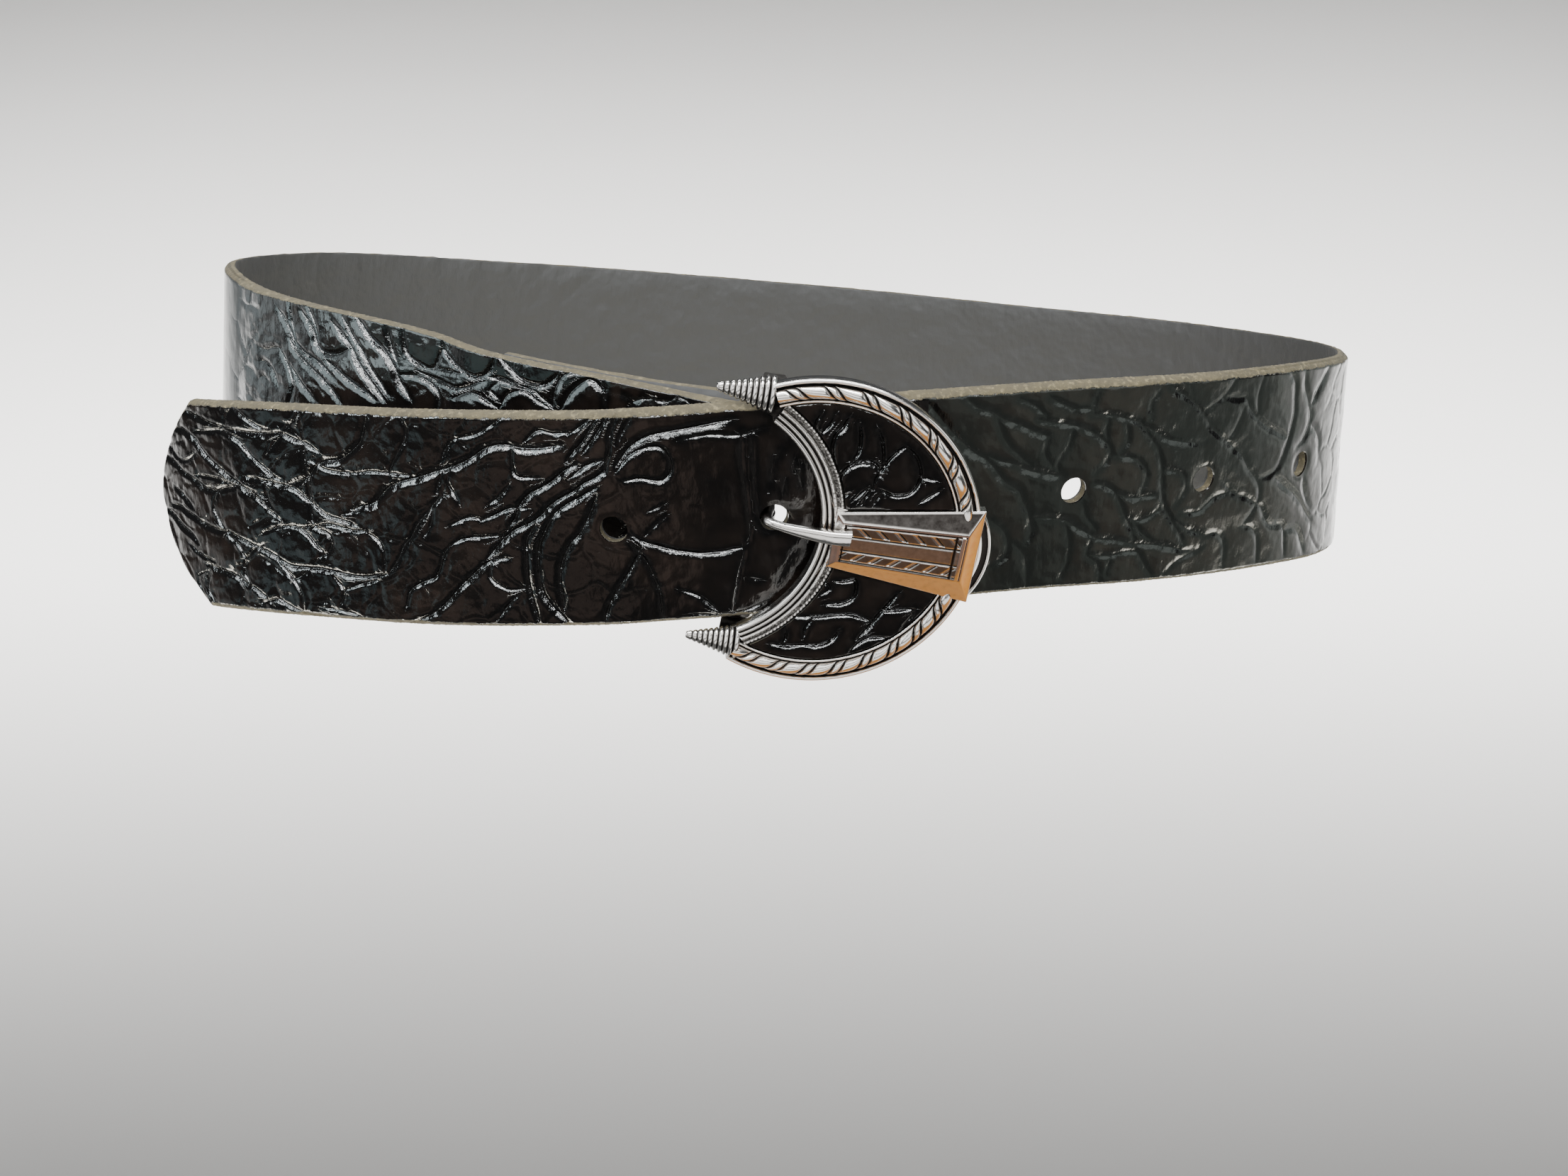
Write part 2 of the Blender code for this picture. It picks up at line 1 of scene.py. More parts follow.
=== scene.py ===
# %% [markdown]
# A wide waist belt of glossy embossed leather with a cast crescent buckle, dressed over its
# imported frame.  The frame gives the sizes and the place of every piece.  Each step below says
# what a piece is on the real belt, how it could be made in Blender, and why this way was chosen.

# %% Load the frame
import json
import math
import bmesh
import bpy
import numpy as np
from mathutils import Matrix, Vector, kdtree

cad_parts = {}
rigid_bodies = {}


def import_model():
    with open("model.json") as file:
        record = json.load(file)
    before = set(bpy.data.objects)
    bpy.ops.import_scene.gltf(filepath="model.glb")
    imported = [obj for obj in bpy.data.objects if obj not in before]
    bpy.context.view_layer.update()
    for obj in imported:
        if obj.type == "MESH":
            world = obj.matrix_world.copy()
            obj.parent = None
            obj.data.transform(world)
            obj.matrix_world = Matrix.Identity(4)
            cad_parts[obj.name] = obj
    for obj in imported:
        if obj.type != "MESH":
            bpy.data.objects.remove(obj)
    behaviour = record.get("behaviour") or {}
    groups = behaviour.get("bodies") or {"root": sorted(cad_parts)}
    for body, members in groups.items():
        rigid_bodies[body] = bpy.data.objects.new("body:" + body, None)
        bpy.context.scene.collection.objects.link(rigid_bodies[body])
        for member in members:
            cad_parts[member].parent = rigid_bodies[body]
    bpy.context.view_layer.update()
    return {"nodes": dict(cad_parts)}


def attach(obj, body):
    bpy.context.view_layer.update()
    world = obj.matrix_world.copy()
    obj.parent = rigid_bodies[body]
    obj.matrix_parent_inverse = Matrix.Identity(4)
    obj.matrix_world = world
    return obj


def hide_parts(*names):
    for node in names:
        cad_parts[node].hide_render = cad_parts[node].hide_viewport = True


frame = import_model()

print("nodes", sorted(frame["nodes"]))

# %% [markdown]
# The sizes below are the same named sizes that the solid belt was built from.  They are in
# metres.  Heights along the strap are shares of its width, and the strap's place round the
# waist is a share of one turn, counted from the hidden heel bar of the buckle.

# %% The belt's own sizes
belt_width = 0.050
leather = 0.0030
turn_back_length = 0.058
tail_length = 0.1635
tip_depth = 0.0195
tip_offset = 0.0012
tip_fullness = 1.9
hole_pitch = 0.035
hole_radius = 0.0031
hole_count = 7
used_hole_reach = 0.0045
hole_row_drop = 0.0018
hole_row_rise = 0.0004
slot_reach, slot_width = 0.0052, 0.0036
waist_half_width = 0.140
waist_half_depth = 0.0912
skin_gap = 0.0003
layer_gap = 0.0003
buckle_shift = 0.0065
slip_length = 0.032
settle_length = 0.018
bar_radius = 0.0020
floor_thickness = 0.0012
plate_height = 0.0052
pocket_play = 0.0003
inlay_thickness = 0.0014
prong_radius = 0.0016
prong_ring_radius = 0.00125
prong_side = 0.0015
prong_drift = 0.0023
prong_tip_reach = 0.0202
frame_swivel = 6.5
frame_slide = 0.0011
lug_thickness = 0.0026
seat_gap = 0.0004
rivet_reach = 0.036
rivet_radius = 0.0016

# Turn, height in shares of belt_width, lean from upright in degrees
STATIONS = (
    (-0.02, -0.218, 13.0), (0.00, -0.112, 13.0), (0.012, -0.084, 12.8), (0.028, -0.052, 12.0),
    (0.046, -0.012, 9.5), (0.064, 0.028, 7.0), (0.080, 0.072, 5.8), (0.10, 0.128, 4.0),
    (0.16, 0.214, -2.0), (0.23, 0.300, -4.0), (0.30, 0.284, -6.5), (0.40, 0.170, -10.5),
    (0.50, 0.022, -11.0), (0.60, -0.106, -8.0), (0.70, -0.150, -3.5), (0.77, -0.138, 1.5),
    (0.84, -0.099, 7.9), (0.90, -0.086, 11.3), (0.95, -0.070, 13.0), (0.98, -0.065, 13.0),
    (1.00, -0.064, 13.0), (1.02, -0.090, 12.6), (1.04, -0.130, 10.6), (1.08, -0.184, 6.3),
    (1.13, -0.224, 3.0), (1.20, -0.312, 0.5),
)
# Turn, height off the waist in shares of the second lap's height over the fold
STAND_OFF = (
    (0.880, 0.000), (0.905, 0.010), (0.920, 0.055), (0.935, 0.168), (0.950, 0.330),
    (0.965, 0.523), (0.980, 0.743), (0.990, 0.884), (1.000, 1.000), (1.015, 1.085),
    (1.030, 1.080), (1.060, 1.010), (1.100, 1.070), (1.140, 1.290), (1.200, 1.700),
)
print("a belt of", belt_width * 1000, "mm by", leather * 1000, "mm leather")

# %% [markdown]
# A belt is cut flat and then bent, and it is made the same way here: every part of the strap is
# modelled on a flat blank, and one function carries a flat point to its place round the waist.
# A curve with a Curve modifier could bend it too, but the strap also leans, climbs over its own
# fold and springs off at the tail, and a function of its own keeps those three apart.


# %% The line that the strap follows
def curve_through(rows, column):
    """A smooth curve through one column of a table that never swings past its rows."""
    x, y = (np.array([row[i] for row in rows], float) for i in (0, column))
    step = np.diff(x)
    slope = np.diff(y) / step
    bend = np.concatenate(([slope[0]], np.zeros(len(x) - 2), [slope[-1]]))
    for i in range(1, len(x) - 1):
        if slope[i - 1] * slope[i] > 0:
            near, far = 2 * step[i] + step[i - 1], step[i] + 2 * step[i - 1]
            bend[i] = (near + far) / (near / slope[i - 1] + far / slope[i])

    def at(t):
        i = np.clip(np.searchsorted(x, t) - 1, 0, len(step) - 1)
        q = (t - x[i]) / step[i]
        return ((1 + 2 * q) * (1 - q) ** 2 * y[i] + q * (1 - q) ** 2 * step[i] * bend[i]
                + q * q * (3 - 2 * q) * y[i + 1] + q * q * (q - 1) * step[i] * bend[i + 1])
    return at


def ease(x):
    """A smooth step from 0 to 1."""
    x = np.clip(x, 0.0, 1.0)
    return x * x * (3 - 2 * x)


def between(x, start, rise, end=np.inf, fall=1.0):
    """1 from start to end, with a smooth rise after start and a smooth fall after end."""
    return ease((x - start) / rise) * (1 - ease((x - end) / fall))


def unit(rows):
    """Each row as a direction of length one."""
    return rows / np.linalg.norm(rows, axis=-1, keepdims=True)


height_at, lean_at = curve_through(STATIONS, 1), curve_through(STATIONS, 2)
share_at = curve_through(STAND_OFF, 1)
fold_inner = bar_radius + layer_gap
bar_level = skin_gap + leather + fold_inner
over_turn_back = skin_gap + leather + layer_gap
fold_top = bar_level + fold_inner
tail_lift = belt_width * float(height_at(1.0) - height_at(0.0))
second_level = (fold_top + leather + layer_gap
                + max(0.0, tail_lift) * math.sin(math.radians(float(lean_at(0.0)))))
start_angle = -math.asin(buckle_shift / waist_half_width)
print("second lap lies", round(second_level * 1000, 2), "mm off the waist")


# %% Directions round the waist
waist_nudge, strap_nudge = 0.0005, 0.0004  # turns to either side that give a line's direction


def angle_at(turns):
    return start_angle - math.pi / 2 - 2 * math.pi * turns


def base_points(turns):
    angle = angle_at(turns)
    return np.stack([waist_half_width * np.cos(angle), waist_half_depth * np.sin(angle),
                     belt_width * height_at(turns)], axis=-1)


def base_frames(turns):
    """Points of the waist's own line, with the directions along, across and out of the strap."""
    turns = np.atleast_1d(np.asarray(turns, float))
    angle = angle_at(turns)
    level = unit(np.stack([np.cos(angle) / waist_half_width, np.sin(angle) / waist_half_depth,
                           0 * angle], axis=-1))
    along = unit(base_points(turns + waist_nudge) - base_points(turns - waist_nudge))
    up = unit(np.cross(along, level))
    lean = np.radians(lean_at(turns))[:, None]
    return (base_points(turns), along, up * np.cos(lean) + level * np.sin(lean),
            level * np.cos(lean) - up * np.sin(lean))


def line_length(points):
    """How far along a line each of its points lies."""
    return np.concatenate(([0.0], np.cumsum(np.linalg.norm(np.diff(points, axis=0), axis=1))))


grid_turns = np.linspace(0, 1.3, 2601)
grid_length = line_length(base_points(grid_turns))
print("the waist is", round(1000 * np.interp(1.0, grid_turns, grid_length)), "mm round")


# %% How far the strap stands off the waist
def stand_off(turns):
    """The strap climbs over its own turned-back end first, and over its own first lap later."""
    gone = np.interp(turns, grid_turns, grid_length)
    first = (fold_top - over_turn_back) * (1 - ease(gone / slip_length))
    second = (over_turn_back - skin_gap) * (1 - ease((gone - turn_back_length - leather / 2)
                                                     / settle_length))
    lap = (second_level - skin_gap) * np.maximum(0.0, share_at(turns))
    return skin_gap + np.where(turns > STAND_OFF[0][0], lap, first + second)


def strap_points(turns):
    point, along, across, out = base_frames(turns)
    return point + out * stand_off(turns)[:, None]


def strap_frames(turns):
    """Points of the strap's flesh side, with the directions along, across and out of it."""
    turns = np.atleast_1d(np.asarray(turns, float))
    point = strap_points(turns)
    along = unit(strap_points(turns + strap_nudge) - strap_points(turns - strap_nudge))
    across = base_frames(turns)[2]
    across = unit(across - along * np.sum(along * across, axis=1, keepdims=True))
    return point, along, across, unit(np.cross(across, along))


over_the_bar = float(stand_off(np.array([1.0]))[0])
print("over the heel bar the second lap is", round(1000 * over_the_bar, 2), "mm off the waist")

# %% Length along the leather
bar_base, bar_along, bar_axis, bar_out = (row[0] for row in base_frames(0.0))
bar_centre = bar_base + bar_out * bar_level
fold_length = math.pi * (fold_inner + leather / 2)
run_turns = np.linspace(0, 1.27, 2541)
run_point, _, _, run_out = strap_frames(run_turns)
run_length = line_length(run_point + run_out * leather / 2)
loop_length = float(np.interp(1.0, run_turns, run_length))
strap_end = loop_length + tail_length
strap_start = -fold_length - turn_back_length
print("the loop is", round(loop_length * 1000), "mm long and the tail", round(tail_length * 1000))


def place_on_strap(s, v, w):
    """Flat points, s along the strap, v across it and w off its flesh side, put in their place."""
    flat = np.asarray(s, float)
    s, v, w = (np.asarray(values, float)[:, None] for values in (s, v, w))
    p, along, across, out = strap_frames(np.interp(np.maximum(flat, 0), run_length, run_turns))
    placed = p + across * v + out * w
    angle = -s / (fold_inner + leather / 2)
    turned = bar_out * np.cos(angle) - bar_along * np.sin(angle)
    placed = np.where(s >= 0, placed, bar_centre + turned * (fold_inner + w) + bar_axis * v)
    p, along, across, out = base_frames(np.interp(-fold_length - flat, grid_length, grid_turns))
    back = p + out * (skin_gap + leather) + across * v - out * w
    return np.where(s > -fold_length, placed, back)


# %% [markdown]
# The leather is stamped so that it looks like reptile hide: rounded scales with thin sunk
# creases between them, and near the buckle long folds that sweep across the strap.  A bump
# texture alone would leave the outline of the folds flat, so the creases are real dents in the
# mesh.  Those that show in front are listed one by one, in millimetres on the flat strap, and
# the rest of the hide is filled with cells round scattered points.

# %% Creases of the tail
# Each row: depth, half width, then the line as (along, across), all in millimetres
TAIL_CREASES = (
    (0.42, 0.70, (898, 22.5), (893, 21), (888, 19.8), (884, 19), (879, 18.4), (873, 18), (868, 18),
     (864, 18.3), (860, 17), (857, 16.3), (853.5, 14.6)),
    (0.45, 0.75, (904, 18.3), (899, 17.5), (895, 15.5), (892, 13), (889, 10.8), (885, 8.5),
     (881, 6.5), (878, 5), (874, 4)),
    (0.30, 0.55, (894, 17.6), (888, 17.9), (884, 18.2), (880, 17), (877, 15.5), (874, 12.5),
     (871, 10.5), (868, 8.5), (865, 7.3)),
    (0.45, 0.75, (910, 11), (905, 9), (902, 7.5), (898, 6.3), (895, 5), (892, 4), (888, 3.8),
     (885, 4.6), (881, 5)),
    (0.30, 0.50, (895, 7.2), (888, 6.7), (884, 5.9), (880, 5.3), (877, 4), (873, 2.5), (870, 0),
     (867, -1.8)),
    (0.36, 0.55, (876, 7.6), (871, 7), (866, 6.3), (862, 5.6), (859, 3.8), (857, 2.5), (853, 0),
     (849, -1), (845, -2)),
    (0.40, 0.70, (907, 3.6), (903, 1.5), (899, -0.6)),
    (0.45, 0.70, (910, -0.8), (906, -1), (903, -2), (899, -3), (895, -4.5), (890, -5.6), (886, -6),
     (882, -7), (877, -8.5), (872, -10), (868, -11.8), (865, -12.8), (860, -13), (857, -12.9),
     (853, -13.3), (848, -14), (844, -14), (841, -13.5), (838, -12.8)),
    (0.42, 0.75, (914, -2), (909, -4), (905, -6), (901, -7.5), (898, -9.5)),
    (0.30, 0.55, (902, -10), (899, -11.6), (896, -12.6), (892, -13.4)),
    (0.42, 0.65, (895, -14.3), (889, -15.5), (885, -16.3), (881, -18), (878, -19), (875, -20.7),
     (873, -22)),
    (0.36, 0.60, (876, -22.3), (871, -21), (868, -22), (865, -23.2), (861, -24), (854, -24.4)),
    (0.36, 0.55, (873, -5.5), (870, -4.3), (867, -3.6), (863, -3.4), (860, -4.5), (857, -7.5),
     (855, -9)),
    (0.36, 0.55, (862, -3.6), (857, -3), (853, -2.2), (849, -2.8), (846, -3.3), (842, -3)),
    (0.40, 0.80, (857, -3.2), (853.5, -4.4), (852.6, -6.5), (854, -9), (856, -10)),
    (0.50, 0.90, (839, 24), (840.5, 20), (842, 17), (845, 14.6), (848, 13), (852, 12.3), (855, 11),
     (857, 8.8), (860, 7.3), (863, 6.6)),
    (0.34, 0.60, (868, 14), (866, 16), (863, 18.2)),
    (0.30, 0.50, (857.5, 24), (859, 22), (861, 20.5), (863, 19)),
    (0.24, 0.50, (879, 24), (876, 22.3), (873, 20.6), (870, 19.4), (867, 19)),
    (0.26, 0.50, (882, 19.5), (881, 22), (879, 23.5)),
    (0.26, 0.50, (855, 12), (852, 10.6), (847, 10.1), (843, 10.3)),
    (0.30, 0.55, (856.5, 9), (857.3, 5), (856, 2), (853, 0)),
    (0.26, 0.50, (848, 0.5), (844, 1.6), (841, 3.4)),
    (0.22, 0.45, (857.7, 24), (857.6, 18), (857.5, 12), (857.6, 6), (857.3, 0)),
    (0.30, 0.50, (895, -16), (896.2, -20), (894, -23.3)),
    (0.30, 0.50, (883.5, -17), (882.3, -20), (884, -23.4)),
    (0.30, 0.50, (873, -8), (877, -9.6), (880, -11.6), (882, -9), (886, -6.5)),
    (0.30, 0.50, (880, -11.6), (881, -15), (879, -18.8)),
    (0.30, 0.50, (869, -12), (865, -16), (863.3, -19), (863, -23)),
    (0.30, 0.50, (860, -13.5), (863, -15.2), (865, -16)),
    (0.30, 0.50, (853, -14), (850.6, -18), (852.5, -21.6)),
    (0.26, 0.50, (857, -22), (853, -22.4), (847, -23.2)),
    (0.26, 0.50, (850.6, -17.6), (845, -15.6), (841, -14.6)),
    (0.30, 0.50, (896, -16), (900, -17.5), (899, -21), (897, -22.8)),
    (0.26, 0.50, (908, 13.5), (904, 11), (900, 10.4), (895, 12.4)),
    (0.28, 0.50, (887.6, 3.6), (890, 0), (888, -4), (886, -6)),
    (0.24, 0.45, (870.6, 7), (870.4, 3), (870.6, 0)),
    (0.24, 0.45, (857.6, -0.5), (857, -3)),
    (0.24, 0.45, (843, -3), (839, -6), (838.6, -10), (839, -13)),
    # the middle of the tail
    (0.55, 1.00, (846, 1.6), (840, 3.4), (838, 5), (835, 7.5), (831, 9), (827, 10), (823, 11.2),
     (820, 12), (816, 13.5), (813, 15), (810, 16.8), (806, 17.7), (801, 17), (797, 17),
     (792, 17.8)),
    (0.26, 0.45, (843, 10.3), (839, 10.8), (833, 10.5), (828, 10.2)),
    (0.30, 0.60, (821, 13.8), (819.6, 16.5), (817, 19)),
    (0.34, 0.70, (838, -13), (835, -9.4), (833, -6), (831, -4), (829, -1), (827, 1), (825, 3),
     (822, 6.2)),
    (0.26, 0.55, (827, -3), (825.4, -0.5), (824.5, 3)),
    (0.36, 0.60, (834, -20), (832.6, -16.4), (829, -14.3), (826, -13), (824.5, -10.5),
     (823.5, -8), (821.6, -5.6)),
    (0.46, 0.80, (834, -24.3), (829, -22.5), (826, -20.5), (823, -18), (820, -15), (817, -12.5),
     (814, -10), (811, -8.8), (808, -8.3)),
    (0.55, 0.90, (813, -8.6), (810, -5.5), (808, -3.5), (805, -1.5), (802, -0.3), (799, 1.5),
     (797, 3.5), (794, 5.5), (791, 7), (788, 9), (785, 10.3), (783, 12), (781.6, 14.5)),
    (0.50, 0.85, (800.6, -0.6), (803, -4), (803.6, -8), (804, -13), (803.6, -18), (802.6, -24)),
    (0.50, 0.90, (785, 8.2), (789, 6), (793, 4), (796, 1.6), (798.5, -2), (800.5, -6), (801.2, -11),
     (801, -16), (799, -20), (796, -23.6)),
    (0.50, 1.00, (785.6, 6), (788, 1.4), (790.5, -2.5), (793, -5), (795.4, -9), (796.6, -14),
     (796.4, -20)),
    (0.36, 0.60, (813, 0.4), (809, 2), (806, 3.2), (802, 3.3)),
    (0.50, 0.80, (807, -1.4), (805, 1), (803.5, 4), (801, 6.5), (798, 8), (795, 9.7), (792, 12),
     (789, 13.3)),
    (0.40, 0.70, (790.6, 10.6), (787, 13), (783, 14.3)),
    (0.30, 0.55, (811, 4), (808, 6), (805.4, 8.6)),
    (0.30, 0.55, (803.6, 17), (804, 13), (803, 10.6), (798, 10.4)),
    (0.44, 0.70, (791, 14.4), (789, 16.6), (787, 18.4), (785, 21), (783, 23.6)),
    (0.44, 0.70, (786.6, 16.6), (783.6, 20), (781, 23.4)),
    (0.30, 0.55, (790, 20.2), (786, 22.5), (784, 24)),
    (0.34, 0.60, (800, 18.8), (797, 21), (793, 20.4), (789, 20.8)),
    (0.36, 0.60, (783.4, 11.6), (781.2, 16), (780.4, 20), (778.6, 24)),
    (0.34, 0.60, (779, 18), (777, 21.4), (775.4, 23.6)),
    (0.55, 1.10, (780, 13), (777, 16.5), (774, 18.5), (771, 19.5), (767, 20), (762, 20.6),
     (756, 21.6)),
    (0.34, 0.70, (780, 11.8), (777, 15), (773, 16.6), (770, 16.2), (768.5, 13), (769, 10.4),
     (771.4, 8.8), (775.5, 9.6), (779, 9.2)),
    (0.40, 0.80, (779.6, -2.6), (777.4, -4.8), (774, -6.2), (770, -7.6), (765, -8.6), (760, -8.7),
     (755, -8)),
    (0.40, 0.80, (779.6, -5.4), (778, -7.6), (776.5, -10.5), (775.5, -14), (774.7, -18),
     (775, -24)),
    (0.45, 0.80, (777.6, -7), (781, -12), (784, -16), (786.5, -20), (788, -24)),
    (0.28, 0.60, (771, 0.6), (773.6, -1.4), (775.4, -3)),
    (0.28, 0.60, (771.4, 3.2), (774, 2.2)),
    (0.30, 0.60, (770, -17), (766, -19), (762, -23)),
    (0.26, 0.60, (817, 19), (812, 20), (808, 22), (805, 24)),
    (0.26, 0.60, (830, 24), (829, 20), (832, 15), (834, 12), (835, 8.5)),
    (0.26, 0.50, (821.6, -5.6), (818, -4), (813, -3.4), (809, -3)),
    (0.24, 0.50, (821, -1), (816, 1), (812, 0.6)),
    (0.26, 0.50, (812, -9), (812.6, -13), (809, -15.6), (805, -15.4)),
    (0.30, 0.60, (812, -22.6), (809, -19), (806, -16.4)),
    (0.26, 0.50, (821, 11.6), (823, 7), (822, 6)),
    (0.24, 0.50, (818, 4.6), (820, 9), (819, 12)),
    # beside the buckle
    (0.18, 0.60, (754.2, 19), (754.4, 12), (753.8, 6), (753.4, 0), (753, -5), (754.8, -8.2)),
    (0.14, 0.45, (752.4, 18), (752.0, 10), (751.8, 4), (750.6, -3)),
    (0.20, 0.60, (766, 18), (760, 18.6), (755, 18), (750, 19.4)),
    (0.26, 0.45, (748, 12.5), (748.3, 9), (749, 5.5)), (0.24, 0.40, (745.6, 7), (746, 4.6)),
    (0.24, 0.40, (746.3, 14.5), (747.4, 12)), (0.24, 0.40, (743.6, 12), (743.7, 10)),
    (0.24, 0.45, (742, 10.6), (742.3, 8), (742, 6)),
    (0.30, 0.60, (754.5, -9), (756.5, -15.5), (758.5, -23)),
    (0.26, 0.50, (769, -23), (760, -23.6), (754, -23), (750, -21.4)),
    (0.26, 0.50, (747, -16.4), (745.2, -12), (744, -10)),
    (0.24, 0.45, (753.5, -15.4), (751, -16)),
    (0.30, 0.60, (752.6, -1), (750.4, -4.4), (747.4, -4.6)),
)
print(len(TAIL_CREASES), "creases on the tail")

# %% Creases of the wearer's left side
SIDE_CREASES = (
    (0.45, 0.80, (716, 24), (712.5, 19.5), (709.5, 16), (706, 12.5), (703, 10), (700, 8),
     (697, 4.5), (695, 2.5), (692, 0.5), (690.5, -2), (688.5, -6), (687.5, -10), (688.5, -12.5)),
    (0.36, 0.70, (707, 23.6), (704, 21), (700, 19.5), (698, 18), (694, 16.3), (690, 14.5),
     (686, 12.8)),
    (0.36, 0.70, (699.4, 19.5), (698, 15.5), (696, 12), (693, 9), (690, 6.6)),
    (0.40, 0.70, (700, 9), (697, 7.8), (694, 7), (690, 5.2), (686, 4), (681, 3.2)),
    (0.36, 0.60, (689, 17), (685, 16), (681, 15.3), (677, 14), (673.5, 12), (671, 10), (670, 8),
     (671, 5.5), (673, 3.5)),
    (0.40, 0.60, (672.6, 0.8), (671, 0.4), (668, -1), (666, -3.5), (664.5, -6), (663, -8.5),
     (661, -11.5), (660, -14.5)),
    (0.36, 0.60, (676, 17.5), (671, 17), (666.5, 15.8), (663, 14.5), (660.5, 11.5), (657.5, 8),
     (655.6, 3), (655, -0.5), (653.5, -5.5), (651, -9), (647, -14), (645.6, -17)),
    (0.30, 0.60, (663, 14.5), (659, 12.4), (656, 10.6), (651, 9.4), (645, 9)),
    (0.30, 0.55, (669, 7.2), (664, 6.5), (661, 4.6), (659.4, 2), (660, -1), (660.6, -3)),
    (0.34, 0.60, (668, -1.6), (665, -2.4), (662, -3.3), (659, -3), (656, -3)),
    (0.40, 0.65, (687.6, -6.4), (682, -7), (678.5, -8), (675, -10), (671.5, -12), (669, -12.8),
     (664.5, -13.5), (661, -14.5), (657, -15), (652, -15.8), (647, -17), (642, -18)),
    (0.40, 0.80, (697.5, -6.5), (694.5, -9), (693, -12.5), (693.5, -15.5), (695.8, -17.4)),
    (0.40, 0.70, (691.5, -12.6), (688.5, -15.5), (687.5, -18.5), (687, -23)),
    (0.30, 0.55, (679, -8), (677.6, -12), (677, -15.5), (677.3, -19), (679, -23.6)),
    (0.30, 0.55, (671.5, -12), (672, -16.6), (669, -19), (667.6, -23)),
    (0.34, 0.55, (672, -16.6), (666, -17.3), (663, -16.5), (659, -16.7), (657, -19),
     (653.6, -23.4)),
    (0.30, 0.50, (665.6, -17.3), (666.4, -21.8)),
    (0.30, 0.55, (661, -9.4), (658.6, -12), (655, -14.6)),
    (0.40, 0.60, (660, 21.6), (661.2, 19), (660.6, 15.8)),
    (0.36, 0.60, (675, 23), (676, 20), (675.8, 17.6)),
    (0.30, 0.50, (671.6, 16.8), (672, 14), (671.4, 11)),
    (0.36, 0.65, (657, 23), (650, 19), (646, 15.5), (643, 12), (640, 10), (636, 7.4),
     (632, 4.6), (629, 1.2), (626, -1.4), (624, -4), (623.5, -7), (625, -10), (627.5, -12.8)),
    (0.34, 0.60, (641, 19.6), (636.5, 18.8), (634, 18.6), (632, 16), (629, 13.5), (625, 11),
     (621, 9.4), (616, 7.6)),
    (0.30, 0.55, (634, 16), (636, 11), (638, 8.6)),
    (0.40, 0.70, (620, 24), (617, 21), (616, 17), (615, 13), (615.5, 8), (616.5, 4), (618, 0.5),
     (620, -1), (623.6, -1.6)),
    (0.36, 0.65, (632, -5), (628, -6), (625, -7.5), (622, -9), (620, -11.5), (617, -14),
     (612, -14.6), (610, -17), (608.6, -22)),
    (0.44, 0.80, (618, -2.4), (614, -4.5), (611, -6), (608, -7.5), (604, -10), (600, -13),
     (597, -15), (592, -18), (588, -22)),
    (0.40, 0.80, (605.6, -3), (604, -6.5), (601, -10), (598, -12)),
    (0.36, 0.70, (611, -16), (606, -16), (603, -17.5), (600, -21), (597, -24)),
    (0.30, 0.55, (640, -14.4), (636, -14), (633, -17), (632, -22.6)),
    (0.30, 0.60, (627.6, -13), (624, -14), (621.4, -17), (620, -23)),
    (0.30, 0.60, (640, -17), (647, -20), (650, -23)),
    (0.44, 0.90, (613.4, 23), (612, 19), (609, 15), (607, 11), (608.4, 7), (611, 5)),
    (0.44, 0.90, (601, 23.6), (605, 19), (608, 14.4)),
    (0.40, 0.80, (606, 9.6), (603, 8), (600, 5), (599, 1)),
    (0.34, 0.70, (636, -2), (633, -4.4), (630, -5.6)),
    (0.26, 0.50, (680, 15), (681, 10), (683, 6), (682, 3.4)),
    (0.26, 0.50, (686, 13), (686.6, 9), (684, 5)),
    (0.26, 0.50, (668, 7), (666, 10.6), (667, 15)),
    (0.26, 0.50, (663.6, -8), (660, -9), (656, -7.6), (654, -5.4)),
    (0.26, 0.50, (675, -3.4), (674, -7), (671, -10)),
    (0.26, 0.50, (648, -8), (643, -8), (639, -5), (634, -4)),
    (0.26, 0.50, (650, -9.6), (646, -12), (640, -14)),
    (0.26, 0.50, (655, 3), (650, 2), (648, -2), (650, -6)),
    (0.26, 0.50, (687, 22), (683, 20), (680, 19), (676, 19)),
    (0.26, 0.50, (694, 22), (690, 20), (687, 17)),
    (0.26, 0.50, (652, 24), (650, 19)),
    (0.26, 0.50, (647, 16), (641, 19.6), (638, 24)),
    (0.26, 0.50, (629, 24), (630, 19), (629, 14)),
)
